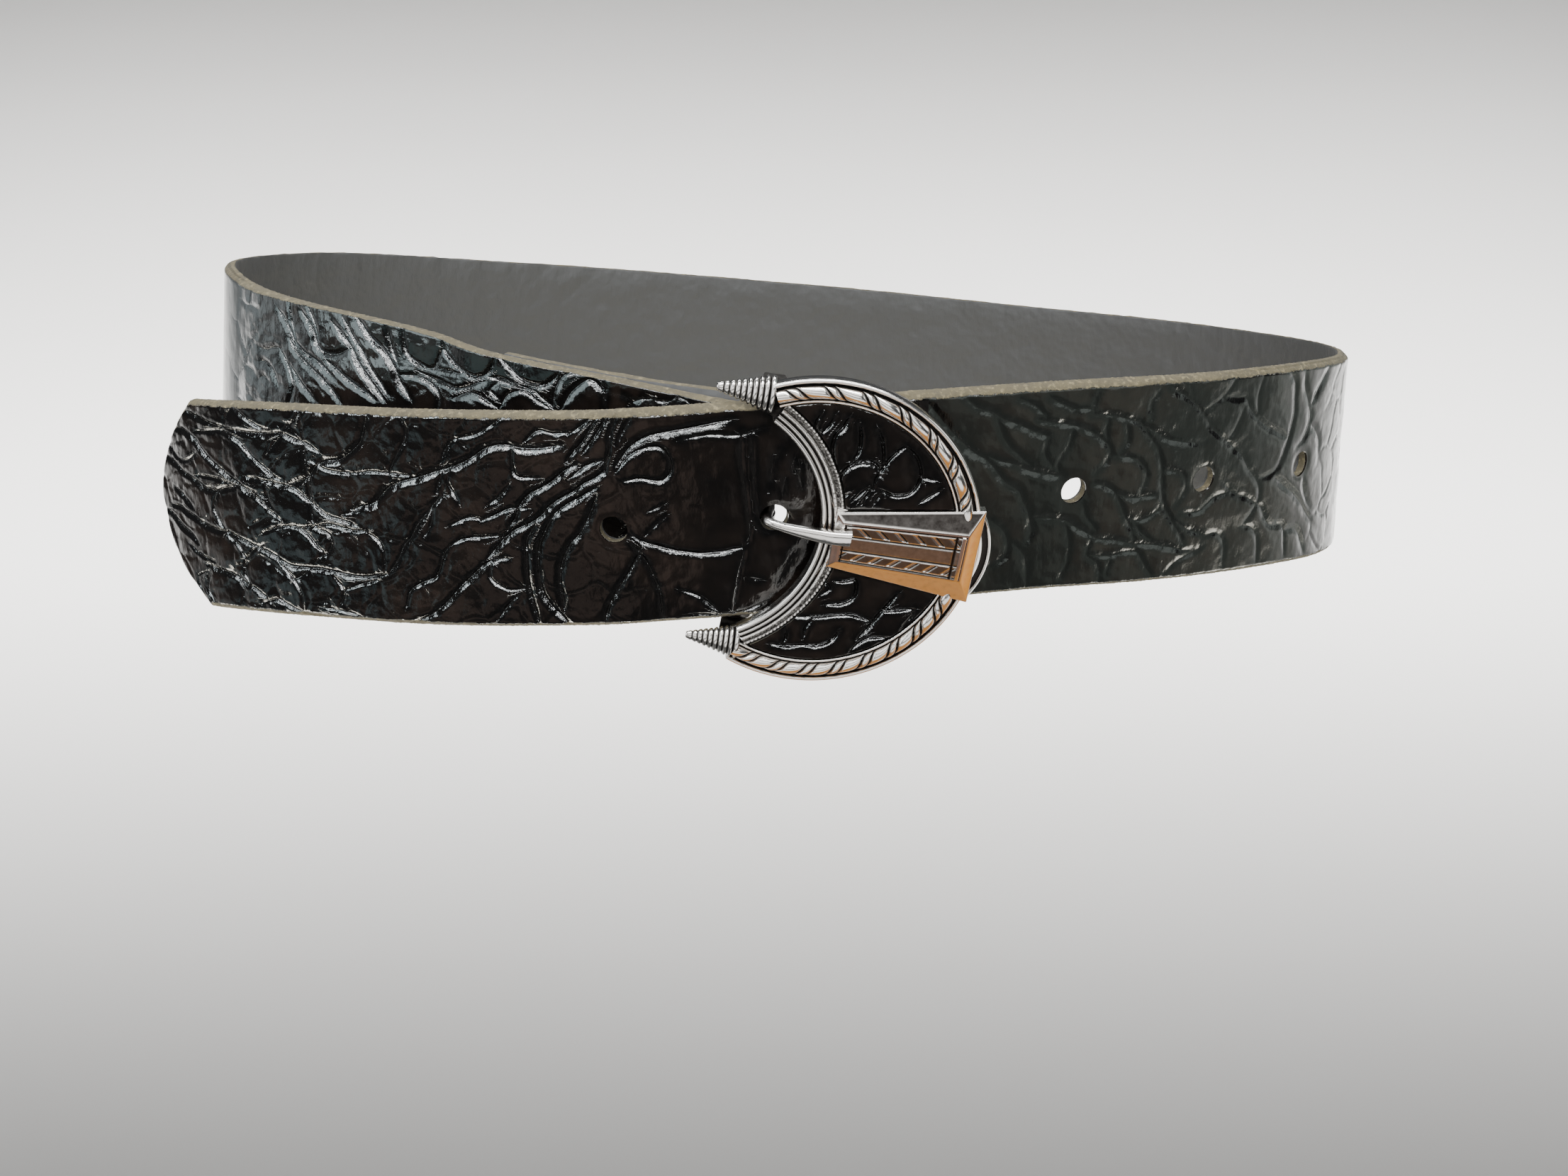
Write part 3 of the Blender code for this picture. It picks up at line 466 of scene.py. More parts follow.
BACK_CREASES = (
    (0.55, 0.60, (76.5, 25), (75.4, 22.5), (72, 20.6), (69, 19.4), (66, 19), (63.4, 19.9),
     (61.8, 22), (61, 25)),
    (0.55, 0.60, (60, 25), (57, 23), (54, 21), (51, 20.4), (48, 21), (46, 23), (45, 25)),
    (0.50, 0.60, (86.4, 25), (85.5, 20), (83.5, 18), (80, 17.2), (78, 18), (77, 21), (75.5, 23.5)),
    (0.45, 0.55, (80, 17.2), (76, 17.8), (73, 18.2), (69.5, 18.8)),
    (0.45, 0.60, (82, 15.8), (78, 15), (75, 15), (71, 14.8), (68, 16), (65, 17.8), (63, 18.7)),
    (0.50, 0.60, (62, 20), (58.5, 20), (55, 19.5), (51, 19), (48.5, 17.5), (46, 16.4)),
    (0.40, 0.60, (58.6, 14), (57, 17), (53, 18.5), (50, 17), (47, 16)),
    (0.40, 0.60, (60, 19), (61.6, 17), (59, 15.4)),
    (0.50, 0.80, (46, 16), (46, 20), (44.5, 23.5), (42, 25)),
    (0.45, 0.80, (44, 16.6), (42.5, 20), (40, 23), (38, 24), (35.5, 22), (34.5, 18)),
    (0.40, 0.60, (35, 25), (34.4, 20.4)),
    (0.45, 0.70, (86, 14), (82, 14.6), (78, 13.5), (76, 11.5), (76, 9)),
    (0.45, 0.70, (71, 12.6), (67, 15), (64, 15), (60, 13.6)),
    (0.60, 0.90, (99, 25), (95, 21), (91, 18.5), (88, 15), (86.5, 12), (84, 9)),
    (0.60, 0.90, (106, 22), (101, 18), (98, 14), (95, 11), (91, 7.5)),
    (0.55, 0.80, (103, 24), (100, 20), (97, 17), (94, 13), (90, 9)),
    (0.50, 0.80, (90.6, 25), (89, 20), (87, 16)),
    (0.55, 0.80, (108, 13), (102, 10), (98, 8.5), (93, 6.6)),
    (0.60, 0.90, (117, 23), (113, 19), (111.5, 16), (109, 14.7), (105, 15), (101, 17)),
    (0.55, 0.80, (122, 16), (119, 13), (114, 10.5), (109, 8), (104, 4.4)),
    (0.60, 0.90, (127, 22), (122, 18), (120, 15.5), (116, 13.5), (111, 12), (106, 9.5)),
    (0.50, 0.90, (121, 9.4), (117, 6), (112, 3)),
    (0.45, 0.80, (115, 25), (112.5, 21), (111, 18)),
    (0.45, 0.80, (122, 25), (121, 20), (119, 16)),
    (0.45, 0.90, (137, 11.6), (133, 11.2), (129, 12.4), (125, 13)),
    (0.45, 0.90, (136, 7.4), (133, 8.4), (129, 7), (126, 4)),
    (0.45, 0.90, (136, 3), (133, 4.8), (130, 3.8)),
    (0.40, 0.70, (126, 13), (122, 9), (120, 5), (121, 1)),
)
print(len(SIDE_CREASES) + len(BACK_CREASES), "creases on the two sides")

# %% [markdown]
# A crease needs one number everywhere on the hide: how far away the nearest crease is.  Looping
# over every line for every vertex would be slow, so the lines are cut into closely spaced
# points and put in a kd-tree, which finds the nearest one in a few steps.  A crease is a narrow
# valley with the leather swelling up on both sides of it.


# %% How far the nearest crease is
cut_deeper, cut_narrower = 1.15, 0.80  # the finished creases against the tables' rows
end_share, end_length = 0.35, 4.0  # depth left at a crease's end, and mm until it is whole


def smooth_line(points, spacing):
    """A smooth line through the points, as closely spaced rows."""
    points = np.array(points, float)
    ends = np.vstack([2 * points[0] - points[1], points, 2 * points[-1] - points[-2]])
    rows = []
    for a, b, c, d in zip(ends, ends[1:], ends[2:], ends[3:]):
        q = np.linspace(0, 1, max(2, int(np.linalg.norm(c - b) / spacing)), endpoint=False)[:, None]
        rows.append(0.5 * (2 * b + (c - a) * q + (2 * a - 5 * b + 4 * c - d) * q ** 2
                           + (3 * b - a - 3 * c + d) * q ** 3))
    return np.vstack(rows + [points[-1:]])


def crease_field(creases, spacing=0.16):
    """A function for the nearest crease: distance with its side, depth and half width, in mm."""
    rows, facts = [], []
    for depth, half_width, *line in creases:
        line = smooth_line(line, spacing)
        from_start = np.arange(len(line))
        from_end = np.minimum(from_start, from_start[::-1]) * spacing
        taper = np.minimum(1.0, end_share + from_end / end_length)
        heading = unit(np.gradient(line, axis=0) + 1e-9)
        rows.extend(line)
        facts.extend((cut_deeper * depth * t, cut_narrower * half_width * (0.7 + 0.3 * t), *h)
                     for t, h in zip(taper, heading))
    tree = kdtree.KDTree(len(rows))
    for index, (x, y) in enumerate(rows):
        tree.insert((x, y, 0), index)
    tree.balance()
    rows, facts = np.array(rows), np.array(facts)

    def look(x, y):
        index = np.array([tree.find((a, b, 0))[1] for a, b in zip(x, y)])
        dx, dy = x - rows[index, 0], y - rows[index, 1]
        beside = facts[index, 2] * dy - facts[index, 3] * dx
        past = np.maximum(0, np.abs(facts[index, 2] * dx + facts[index, 3] * dy) - spacing)
        signed = np.where(beside < 0, -1, 1) * np.hypot(beside, past)
        return signed, facts[index, 0], facts[index, 1]
    return look


def dent(distance, depth, half_width, swell=0.22, reach=2.6):
    """Height of the hide near a crease, in mm, and how much of the crease colour it takes."""
    distance = np.abs(distance)
    valley = np.exp(-np.abs(distance / half_width) ** 1.7)
    lip = np.exp(-((distance - 1.9 * half_width) / (0.9 * half_width)) ** 2)
    dome = 1 - np.exp(-(distance / reach) ** 1.5)
    height = swell * dome + 0.16 * depth * lip - depth * valley
    return height, valley ** 3 * np.minimum(1, depth / 0.4)


hand_field = crease_field(TAIL_CREASES + SIDE_CREASES + BACK_CREASES)
print("one crease field for the whole strap")


# %% Cells for the rest of the hide
hide = np.random.default_rng(7)
cell_step = 10.5
cells = np.array([(x + (row % 2) * cell_step / 2, y) for row, y in
                  enumerate(np.arange(-36, 37, cell_step * 0.86))
                  for x in np.arange(-90, 930, cell_step)])
cells += hide.uniform(-0.33, 0.33, cells.shape) * cell_step
print(len(cells), "scales in the filled part of the hide")


def cell_borders(x, y):
    """Distance to the nearest border between two cells, with its side, in mm."""
    x = x + 0.9 * np.sin(y / 2.9 + x / 9) + 0.5 * np.sin(y / 1.3 + 2)
    y = y + 0.9 * np.sin(x / 3.3 + y / 7) + 0.5 * np.sin(x / 1.7)
    away = np.empty(len(x))
    for start in range(0, len(x), 6000):
        part = slice(start, start + 6000)
        d2 = (x[part, None] - cells[None, :, 0]) ** 2 + (y[part, None] - cells[None, :, 1]) ** 2
        first, second = np.argpartition(d2, 1, axis=1)[:, :2].T
        rows = np.arange(len(d2))
        gap = np.linalg.norm(cells[first] - cells[second], axis=1)
        low, high = np.minimum(first, second), np.maximum(first, second)
        away[part] = (d2[rows, high] - d2[rows, low]) / (2 * gap)
    return away


# %% [markdown]
# The hide isn't the same all along the strap.  The listed creases take over where the
# photograph shows them, those to the right of the buckle are shallower, and there are calm
# stretches with hardly any relief, as on the smooth parts of a real hide.  A table of stretches
# says where, and every change is eased in, so that no border shows.

# %% Stretches of the strap
# Each in mm: from, how long it sets in, to, how long it fades; no end runs on to the tip
LAID_OUT = ((730, 8), (590, 14, 712, 12), (24, 14, 130, 12))
LEFT_SIDE = (560, 20, 712, 12)
HIDDEN_BACK = (205, 20, 520, 20)
FEW_CELLS = (762, 22)
# How much of the relief is gone, then the stretch
CALM = ((0.75, 716, 16, 735, 10), (0.88, 138, 10, 205, 20), (0.60, 520, 20, 625, 25))


def near_only(distance):
    """1 at a crease and 0 well away from it, where the nearest crease changes."""
    return np.exp(-np.abs(distance / 1.2) ** 4)


def scale_middle(distance):
    """0 at a crease and 1 in the middle of a scale."""
    return ease((np.abs(distance) - 0.5) / 1.6)


def hide_relief(s, v):
    """The hide's height in metres, then what its finish needs to know about the creases."""
    x, y = s * 1000, v * 1000
    by_hand = sum(between(x, *stretch) for stretch in LAID_OUT)
    side = between(x, *LEFT_SIDE)
    calm = 1 - sum(share * between(x, *stretch) for share, *stretch in CALM)
    distance, depth, half_width = hand_field(x, y)
    depth, half_width = depth * (1 - 0.48 * side), half_width * (1 + 0.50 * side)
    hand_height, hand_crease = dent(distance, depth, half_width)
    border = cell_borders(x, y)
    cell_height, cell_crease = dent(border, 0.34 * calm, 0.62, 0.24 * calm)
    folds = 0.10 * np.sin(x / 5.1 + y / 7.3) * np.sin(y / 6.1 - x / 13)
    filled = 1 - by_hand * (1 - 0.38 * between(x, *FEW_CELLS))
    height = hand_height * by_hand + cell_height * filled + folds * calm - 0.22
    groove = np.where(by_hand > 0.5, distance, border)
    deep = np.where(by_hand > 0.5, np.minimum(1, depth / 0.5), 0.6 * calm)
    deep = deep * np.abs(2 * by_hand - 1) * (1 - 0.75 * side)
    return (height / 1000, hand_crease * by_hand + cell_crease * filled, groove,
            deep * near_only(groove), scale_middle(groove),
            calm * (1 - 0.6 * between(x, *HIDDEN_BACK)))


print(len(LAID_OUT), "stretches laid out by hand,", len(CALM), "calm ones")


# %% [markdown]
# The strap's blank is a grid wrapped into a flat tube: most of its columns lie on the grain
# side, where the creases need them, a few round the two cut edges, and a few on the flesh side.
# The strap is made in five lengths that meet edge to edge, because one mesh as fine as the tail
# needs would be too big, and because the back needs far fewer faces than the front.

# %% Small helpers for meshes
def new_object(name, bm):
    """A linked object with the bmesh as its mesh; the bmesh is freed."""
    mesh = bpy.data.meshes.new(name)
    bm.to_mesh(mesh)
    bm.free()
    made = bpy.data.objects.new(name, mesh)
    bpy.context.scene.collection.objects.link(made)
    return made


def close_ends(bm):
    """Fills every open end and turns the faces outwards."""
    bmesh.ops.holes_fill(bm, edges=[e for e in bm.edges if e.is_boundary], sides=0)
    bmesh.ops.recalc_face_normals(bm, faces=bm.faces)


def combine(body, tool, operation="DIFFERENCE"):
    """Applies one Boolean to a body and removes the tool."""
    cut = body.modifiers.new("cut", "BOOLEAN")
    cut.operation, cut.solver, cut.object = operation, "EXACT", tool
    graph = bpy.context.evaluated_depsgraph_get()
    graph.update()
    mesh = bpy.data.meshes.new_from_object(body.evaluated_get(graph))
    body.modifiers.clear()
    body.data = mesh
    bpy.data.objects.remove(tool)


def spaced(*stops):
    """Positions from (start, step) stops, the last stop being only an end."""
    rows = [np.array([stops[0][0]])]
    for (low, step), (high, _) in zip(stops, stops[1:]):
        rows.append(np.linspace(low, high, max(2, int(round((high - low) / step)) + 1))[1:])
    return np.concatenate(rows)


print("helpers are ready")


# %% The flat blank's outline
tip_rows = 46
# The share of its insets that the cut edge has near the heel, and where it grows to all of them
least_slant, slant_from, slant_over = 0.25, 0.100, 0.060


def outline(rows, tip):
    """Both cut edges at each row: places and outward directions."""
    half = belt_width / 2
    c = np.linspace(1, 0, tip_rows + 1)[1:] if tip else np.array([])
    s = np.concatenate([rows, strap_end - tip_depth * c ** tip_fullness])
    slant = least_slant + (1 - least_slant) * ease((s - slant_from) / slant_over)
    straight = np.zeros(len(rows))
    edges = []
    for side in (1, -1):
        v = np.concatenate([straight + side * half, side * half * c + tip_offset * (1 - c)])
        ds = np.concatenate([straight, tip_depth * tip_fullness * c ** (tip_fullness - 1)])
        dv = np.concatenate([straight, np.full(len(c), side * half - tip_offset)])
        normal = unit(np.stack([np.where(ds > 0, np.abs(dv), 0),
                                np.where(ds > 0, side * ds, side)], axis=-1))
        if tip:
            normal[len(rows) - 1] = unit(normal[len(rows) - 1] + normal[len(rows)])
            normal[-1] = (1, 0)
        edges.append((np.stack([s, v], axis=-1), normal * slant[:, None]))
    return edges


print("a rounded tip in", tip_rows, "rows")

# %% The flat blank
# Inset from the cut outline and height off the flesh side, in mm, round one cut edge
EDGE = ((1.75, 3.0), (1.45, 2.97), (1.10, 2.78), (0.74, 2.42), (0.42, 1.92), (0.18, 1.25),
        (0.04, 0.60), (0.10, 0.18), (0.50, 0.0))


def round_edge(edge, out, order):
    """The places round one cut edge, for every row of the blank."""
    return np.stack([np.column_stack([edge - out * inset / 1000, np.full(len(edge), w / 1000)])
                     for inset, w in order], axis=1)


def straight_across(near, far, columns):
    """Evenly spaced places between two edges, for every row of the blank."""
    q = ((np.arange(columns) + 1) / (columns + 1))[:, None]
    return near[:, None] * (1 - q) + far[:, None] * q


def flat_blank(name, rows, grain_columns, flesh_columns, tip=False):
    """A closed flat strap: a grid wrapped round the strap's section and welded at its seam."""
    (top, top_out), (low, low_out) = outline(rows, tip)
    near, far = round_edge(top, top_out, EDGE), round_edge(low, low_out, EDGE[::-1])
    places = np.concatenate([near, straight_across(near[:, -1], far[:, 0], flesh_columns),
                             far, straight_across(far[:, -1], near[:, 0], grain_columns)], axis=1)
    count, ring = places.shape[:2]
    bm = bmesh.new()
    bmesh.ops.create_grid(bm, x_segments=count - 1, y_segments=ring, size=1.0)
    for vert in bm.verts:
        i = int(round((vert.co.x + 1) / 2 * (count - 1)))
        j = int(round((vert.co.y + 1) / 2 * ring)) % ring
        vert.co = places[i, j]
    bmesh.ops.remove_doubles(bm, verts=bm.verts, dist=0.00002)
    close_ends(bm)
    blank = new_object(name, bm)
    print(name, "has", count, "rows and", len(blank.data.polygons), "faces")
    return blank


# %% [markdown]
# The holes are punched through the flat blank with a Boolean, as a maker's punch does it, and
# before the bend, so that every punch is one upright cylinder.  All punches of a blank are one
# tool, which keeps it to a single cut.


# %% Punches
punch_length = 2.5 * leather
HOLES = [(loop_length - used_hole_reach - (i - 1) * hole_pitch, hole_row_rise * i - hole_row_drop)
         for i in range(hole_count)]


def punch_all(blank, punches, slots=()):
    bm = bmesh.new()
    for s, v, radius in punches:
        made = bmesh.ops.create_cone(bm, cap_ends=True, segments=40, radius1=radius,
                                     radius2=radius, depth=punch_length)
        bmesh.ops.translate(bm, verts=made["verts"], vec=(s, v, leather / 2))
    for low, high, v in slots:
        made = bmesh.ops.create_cube(bm, size=1.0)
        bmesh.ops.scale(bm, verts=made["verts"], vec=(high - low, slot_width, punch_length))
        bmesh.ops.translate(bm, verts=made["verts"], vec=((low + high) / 2, v, leather / 2))
    combine(blank, new_object("punches", bm))
    print(blank.name, "punched, now", len(blank.data.polygons), "faces")


# %% [markdown]
# A punched blank is stamped and bent in one go.  What the finish has to know later, such as how
# far a point is from the nearest crease, is stored on the vertices before the bend, because the
# bent strap has no flat directions any more.  A UV map keeps the flat place of every corner.

# %% Stamp and bend
unstamped_groove = 9.0  # mm to the nearest crease, where there is none
rim_width, rim_dent = 0.0010, 0.00030  # the hide pulled down round a punched hole
fray, fray_band = 0.00005, 0.0012  # how far the cut's fibres stray, and how deep they start


def store(mesh, shares):
    """Keeps named values on the vertices."""
    for name, values in shares.items():
        mesh.attributes.new(name, "FLOAT", "POINT").data.foreach_set("value", values)


def emboss_and_bend(blank):
    """Stamps the hide into a punched blank, keeps its flat places for the finish, and bends it."""
    mesh = blank.data
    count = len(mesh.vertices)
    co = np.empty(count * 3)
    mesh.vertices.foreach_get("co", co)
    s, v, w = co.reshape(-1, 3).T
    layer = w / leather
    stamped = layer > 0.55
    height, crease, groove, deep, middle, calm = relief = np.zeros((6, count))
    groove += unstamped_groove
    calm += 1
    relief[:, stamped] = hide_relief(s[stamped], v[stamped])
    for hole_s, hole_v in HOLES:
        away = np.hypot(s - hole_s, v - hole_v) - hole_radius
        sunk = np.exp(-(np.maximum(away, 0) / rim_width) ** 2)
        height = height * (1 - 0.8 * sunk) - rim_dent * sunk
        crease, deep = crease * (1 - sunk), deep * (1 - sunk)
    rough_edge = hide.normal(0, 1, count) * np.where((layer > 0.02) & (layer < 0.98), 1, 0)
    side = np.sign(v) * np.where(np.abs(v) > belt_width / 2 - fray_band, 1, 0)
    placed = place_on_strap(s, v + side * rough_edge * fray,
                            w + height * ease((layer - 0.5) / 0.4))
    mesh.vertices.foreach_set("co", placed.ravel())
    # the two flat sides are set well beyond the cut, where noise can't carry them into it
    layer = np.where(layer > 0.999, 1.25, np.where(layer < 0.001, -0.25, layer))
    store(mesh, {"layer": layer, "crease": crease, "groove": groove, "deep": deep,
                 "middle": middle, "calm": calm})
    flat = mesh.uv_layers.new(name="flat")
    corner = np.empty(len(mesh.loops), int)
    mesh.loops.foreach_get("vertex_index", corner)
    flat.data.foreach_set("uv", np.stack([s[corner] * 10, v[corner] * 10], axis=-1).ravel())
    mesh.update()
    bm = bmesh.new()
    bm.from_mesh(mesh)
    bmesh.ops.triangulate(bm, faces=[f for f in bm.faces if len(f.verts) > 4])
    bmesh.ops.recalc_face_normals(bm, faces=bm.faces)
    bm.to_mesh(mesh)
    bm.free()
    mesh.shade_smooth()
    mesh.set_sharp_from_angle(angle=math.radians(62))


print("a punched rim sinks by", round(1000 * rim_dent, 2), "mm")

# %% [markdown]
# Each of the five lengths has its own spacing of rows along the strap and of columns across it.
# The tail and the right side show from close by and get about one row every third of a
# millimetre, and the back and the turned-back end make do with about one every two millimetres.

# %% The blanks, punched, stamped and bent
strap_lengths = []


def strap_length(name, rows, grain_columns, tip=False, slots=(), extra=()):
    blank = flat_blank(name, rows, grain_columns, 8, tip)
    low, high = rows[0] - 0.001, strap_end if tip else rows[-1] + 0.001
    punches = [(s, v, hole_radius) for s, v in HOLES if low < s < high] + list(extra)
    if punches or slots:
        punch_all(blank, punches, slots)
    emboss_and_bend(blank)
    strap_lengths.append(blank)


below = float(np.interp(np.interp(rivet_reach, run_length, run_turns), grid_turns, grid_length))
strap_length("strap_tip", spaced((0.800, 0.00029), (strap_end - tip_depth, 0)), 166, tip=True)
strap_length("strap_tail", spaced((0.715, 0.0007), (0.752, 0.00032), (0.800, 0)), 166)
strap_length("strap_side", spaced((0.585, 0.00038), (0.715, 0)), 132)
strap_length("strap_back", spaced((0.150, 0.0019), (0.585, 0)), 62)
strap_length("strap_heel", spaced((strap_start, 0.0022), (-fold_length, 0.0008), (0.014, 0.0020),
                                  (0.026, 0.00050), (0.132, 0.0011), (0.150, 0)), 116,
             slots=[(-fold_length - slot_reach, slot_reach, prong_side)],
             extra=[(s, 0, rivet_radius + layer_gap) for s in (rivet_reach, -fold_length - below)])

# %% [markdown]
# Leather is not one colour.  The grain side is dyed black and polished, with paler dry lines in the
# creases, worn brown patches, and a painted brown sheen in the middle of each scale.  The cut edge
# is raw and shows the pale fibres, and the flesh side is dark and matt.  The share of the way
# through the leather is stored on every vertex, so one ramp on it gives all three, and noise makes
# the dye's border uneven as on a hand-finished edge.


# %% Small helpers for node trees
def new_material(name):
    """A material, its node tree and its shader."""
    material = bpy.data.materials.new(name)
    material.use_nodes = True
    tree = material.node_tree
    return material, tree, tree.nodes["Principled BSDF"]


def add(tree, kind, **values):
    """A node with its settings and the plain values of its sockets."""
    node = tree.nodes.new(kind)
    for key, value in values.items():
        if key in node.bl_rna.properties:
            setattr(node, key, value)
        else:
            node.inputs[key.replace("_", " ")].default_value = value
    return node


def feed(tree, socket, value):
    """Gives a socket a number, a colour or what another node puts out."""
    if isinstance(value, (int, float)):
        socket.default_value = value
    elif isinstance(value, tuple):
        socket.default_value = (*value, 1)
    else:
        tree.links.new(value, socket)


def object_place(tree):
    return add(tree, "ShaderNodeTexCoord").outputs["Object"]


def stored(tree, name):
    """A value that was stored on the vertices."""
    return add(tree, "ShaderNodeAttribute", attribute_name=name).outputs["Fac"]


def ramp(tree, source, *stops):
    """A ramp of greys with (place, grey) stops."""
    node = add(tree, "ShaderNodeValToRGB")
    while len(node.color_ramp.elements) < len(stops):
        node.color_ramp.elements.new(0.5)
    for element, (place, grey) in zip(node.color_ramp.elements, stops):
        element.position = place
        element.color = (grey, grey, grey, 1)
    tree.links.new(source, node.inputs[0])
    return node.outputs[0]


def work_out(tree, operation, a, b=0.0):
    node = add(tree, "ShaderNodeMath", operation=operation)
    feed(tree, node.inputs[0], a)
    feed(tree, node.inputs[1], b)
    return node.outputs[0]


def plus(tree, a, b):
    return work_out(tree, "ADD", a, b)


def times(tree, a, *factors):
    for factor in factors:
        a = work_out(tree, "MULTIPLY", a, factor)
    return a


def fading(tree, distance, rate):
    """Falls off with distance, e to the power of -rate for each millimetre."""
    return work_out(tree, "EXPONENT", times(tree, distance, -rate))


def mix_colour(tree, factor, a, b):
    node = add(tree, "ShaderNodeMix", data_type="RGBA")
    for index, value in ((0, factor), (6, a), (7, b)):
        feed(tree, node.inputs[index], value)
    return node.outputs[2]


print("node trees can do sums and mix colours")


# %% Noise and bumps
def noise(tree, vector, scale, detail=3.0, roughness=0.55, stretch=None):
    if stretch:
        mapping = add(tree, "ShaderNodeMapping", Scale=stretch)
        tree.links.new(vector, mapping.inputs["Vector"])
        vector = mapping.outputs[0]
    node = add(tree, "ShaderNodeTexNoise", Scale=scale, Detail=detail, Roughness=roughness)
    tree.links.new(vector, node.inputs["Vector"])
    return node.outputs[0]


def bumps(tree, *layers):
    """Bumps laid over each other, from (height, distance, strength) rows."""
    normal = None
    for height, distance, strength in layers:
        node = add(tree, "ShaderNodeBump", Strength=strength, Distance=distance)
        tree.links.new(height, node.inputs["Height"])
        if normal is not None:
            tree.links.new(normal, node.inputs["Normal"])
        normal = node.outputs[0]
    return normal


print("noise and bumps are ready")

# %% The leather's colours
BLACK_DYE = ((0.0008, 0.0008, 0.0008), (0.0020, 0.0017, 0.0016))
FLESH_SIDE = ((0.0025, 0.0022, 0.0020), (0.0065, 0.0055, 0.0047))
RAW_CUT = ((0.012, 0.009, 0.003), (0.080, 0.060, 0.020))
# brown of worn dye in patches, which in the middle of each scale is also painted sheen
worn_and_sheen_brown = (0.014, 0.0092, 0.0070)
dry_crease = (0.016, 0.015, 0.014)
pale_fibre = (0.15, 0.12, 0.060)


def leather_colour(tree, flat, fibre, place, cut, grain_side, crease, middle):
    """Black dye, worn brown in patches with a painted sheen in each scale's middle, dry creases on
    the grain side, dark flesh behind, and a raw cut.
    """
    dye = mix_colour(tree, noise(tree, flat, 30, 4), *BLACK_DYE)
    patches = ramp(tree, noise(tree, flat, 3.4, 3), (0.42, 0.15), (0.60, 1.0))
    # painted sheen: the brown is strongest in the middle of each scale, where its dome would mirror
    # light; the patches add worn dye
    worn = times(tree, patches, noise(tree, flat, 24, 4, 0.6), middle)
    dye = mix_colour(tree, worn, dye, worn_and_sheen_brown)
    dry = times(tree, crease, noise(tree, flat, 30, 3), 0.5)
    grain = mix_colour(tree, dry, dye, dry_crease)
    flesh = mix_colour(tree, fibre, *FLESH_SIDE)
    raw = mix_colour(tree, noise(tree, place, 260, 5, 0.7), *RAW_CUT)
    raw = mix_colour(tree, ramp(tree, fibre, (0.52, 0.0), (0.72, 0.8)), raw, pale_fibre)
    return mix_colour(tree, cut, mix_colour(tree, grain_side, flesh, grain), raw)


def leather_roughness(tree, flat, cut, grain_side):
    """A polished grain side, a matt flesh side and a dull cut."""
    polish = plus(tree, 0.045, times(tree, noise(tree, flat, 20, 4), 0.12))
    return mix_colour(tree, cut, mix_colour(tree, grain_side, (0.75, 0.75, 0.75), polish),
                      (0.9, 0.9, 0.9))


print("colours for the grain side, the flesh side and the cut")

# %% [markdown]
# The stamped mesh has the folds and the creases.  What is finer than its faces is bump: soft
# folds and wrinkles, the pores, the sharp bottom of each crease, the pleats that run beside it
# and the puckers between those.  Pleats and puckers follow the stored distance to the nearest
# crease, so they run along it wherever it goes, and calm stretches of the hide have less of all.


# %% The leather's finest relief
def leather_relief(tree, flat, fibre, cut, groove, deep, calm):
    folds = times(tree, noise(tree, flat, 13, 2, 0.5), calm)
    wrinkles = times(tree, noise(tree, flat, 34, 4, 0.6, (1.8, 0.8, 1.0)), calm)
    pores = noise(tree, flat, 190, 3, 0.6)
    away = work_out(tree, "ABSOLUTE", groove)
    across = work_out(tree, "DIVIDE", groove, 0.24)
    broken = ramp(tree, noise(tree, flat, 42, 3, 0.6), (0.32, 0.25), (0.55, 1.0))
    sharp = times(tree, fading(tree, times(tree, across, across), 1.0), broken, -1.0)
    pleats = times(tree, work_out(tree, "COSINE", times(tree, groove, 6.3)),
                   fading(tree, away, 1.1), -0.12)
    lines = times(tree, plus(tree, sharp, pleats), deep)
    puckers = times(tree, noise(tree, flat, 95, 3, 0.65), fading(tree, away, 0.9), deep)
    fuzz = times(tree, fibre, cut)
    return bumps(tree, (folds, 0.0014, 0.8), (wrinkles, 0.00022, 0.8), (pores, 0.00003, 0.6),
                 (lines, 0.00020, 1.0), (puckers, 0.00022, 1.0), (fuzz, 0.00035, 0.9))


def strap_leather():
    material, tree, shader = new_material("glossy_embossed_leather")
    flat, place = add(tree, "ShaderNodeUVMap", uv_map="flat").outputs[0], object_place(tree)
    layer, crease, groove, deep, middle, calm = (
        stored(tree, name) for name in ("layer", "crease", "groove", "deep", "middle", "calm"))
    fibre = noise(tree, place, 900, 4)
    frayed = plus(tree, noise(tree, flat, 22, 4, 0.65), noise(tree, place, 1100, 4, 0.7))
    uneven = plus(tree, layer, times(tree, plus(tree, frayed, -1.0), 0.24))
    cut = ramp(tree, uneven, (0.0, 0.0), (0.04, 0.0), (0.08, 1.0), (0.95, 1.0), (0.985, 0.0),
               (1.0, 0.0))
    grain_side = ramp(tree, layer, (0.3, 0.0), (0.6, 1.0))
    colour = leather_colour(tree, flat, fibre, place, cut, grain_side, crease, middle)
    tree.links.new(colour, shader.inputs["Base Color"])
    tree.links.new(leather_roughness(tree, flat, cut, grain_side), shader.inputs["Roughness"])
    tree.links.new(leather_relief(tree, flat, fibre, cut, groove, deep, calm),
                   shader.inputs["Normal"])
    shader.inputs["Specular IOR Level"].default_value = 0.95
    return material


leather_finish = strap_leather()
for piece in strap_lengths:
    piece.data.materials.append(leather_finish)
    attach(piece, "root")
    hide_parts("strap")
print("strap finished:", sum(len(p.data.polygons) for p in strap_lengths), "faces")

# %% [markdown]
# The buckle has directions of its own: u along it, away from the heel bar, v across it and w
# off the strap.  Everything cast is modelled flat in those directions and carried over by one
# matrix at the end.


# %% The buckle's place
swivel = math.radians(frame_swivel)
buckle_u = -bar_along * math.cos(swivel) - bar_out * math.sin(swivel)
buckle_w = bar_out * math.cos(swivel) - bar_along * math.sin(swivel)


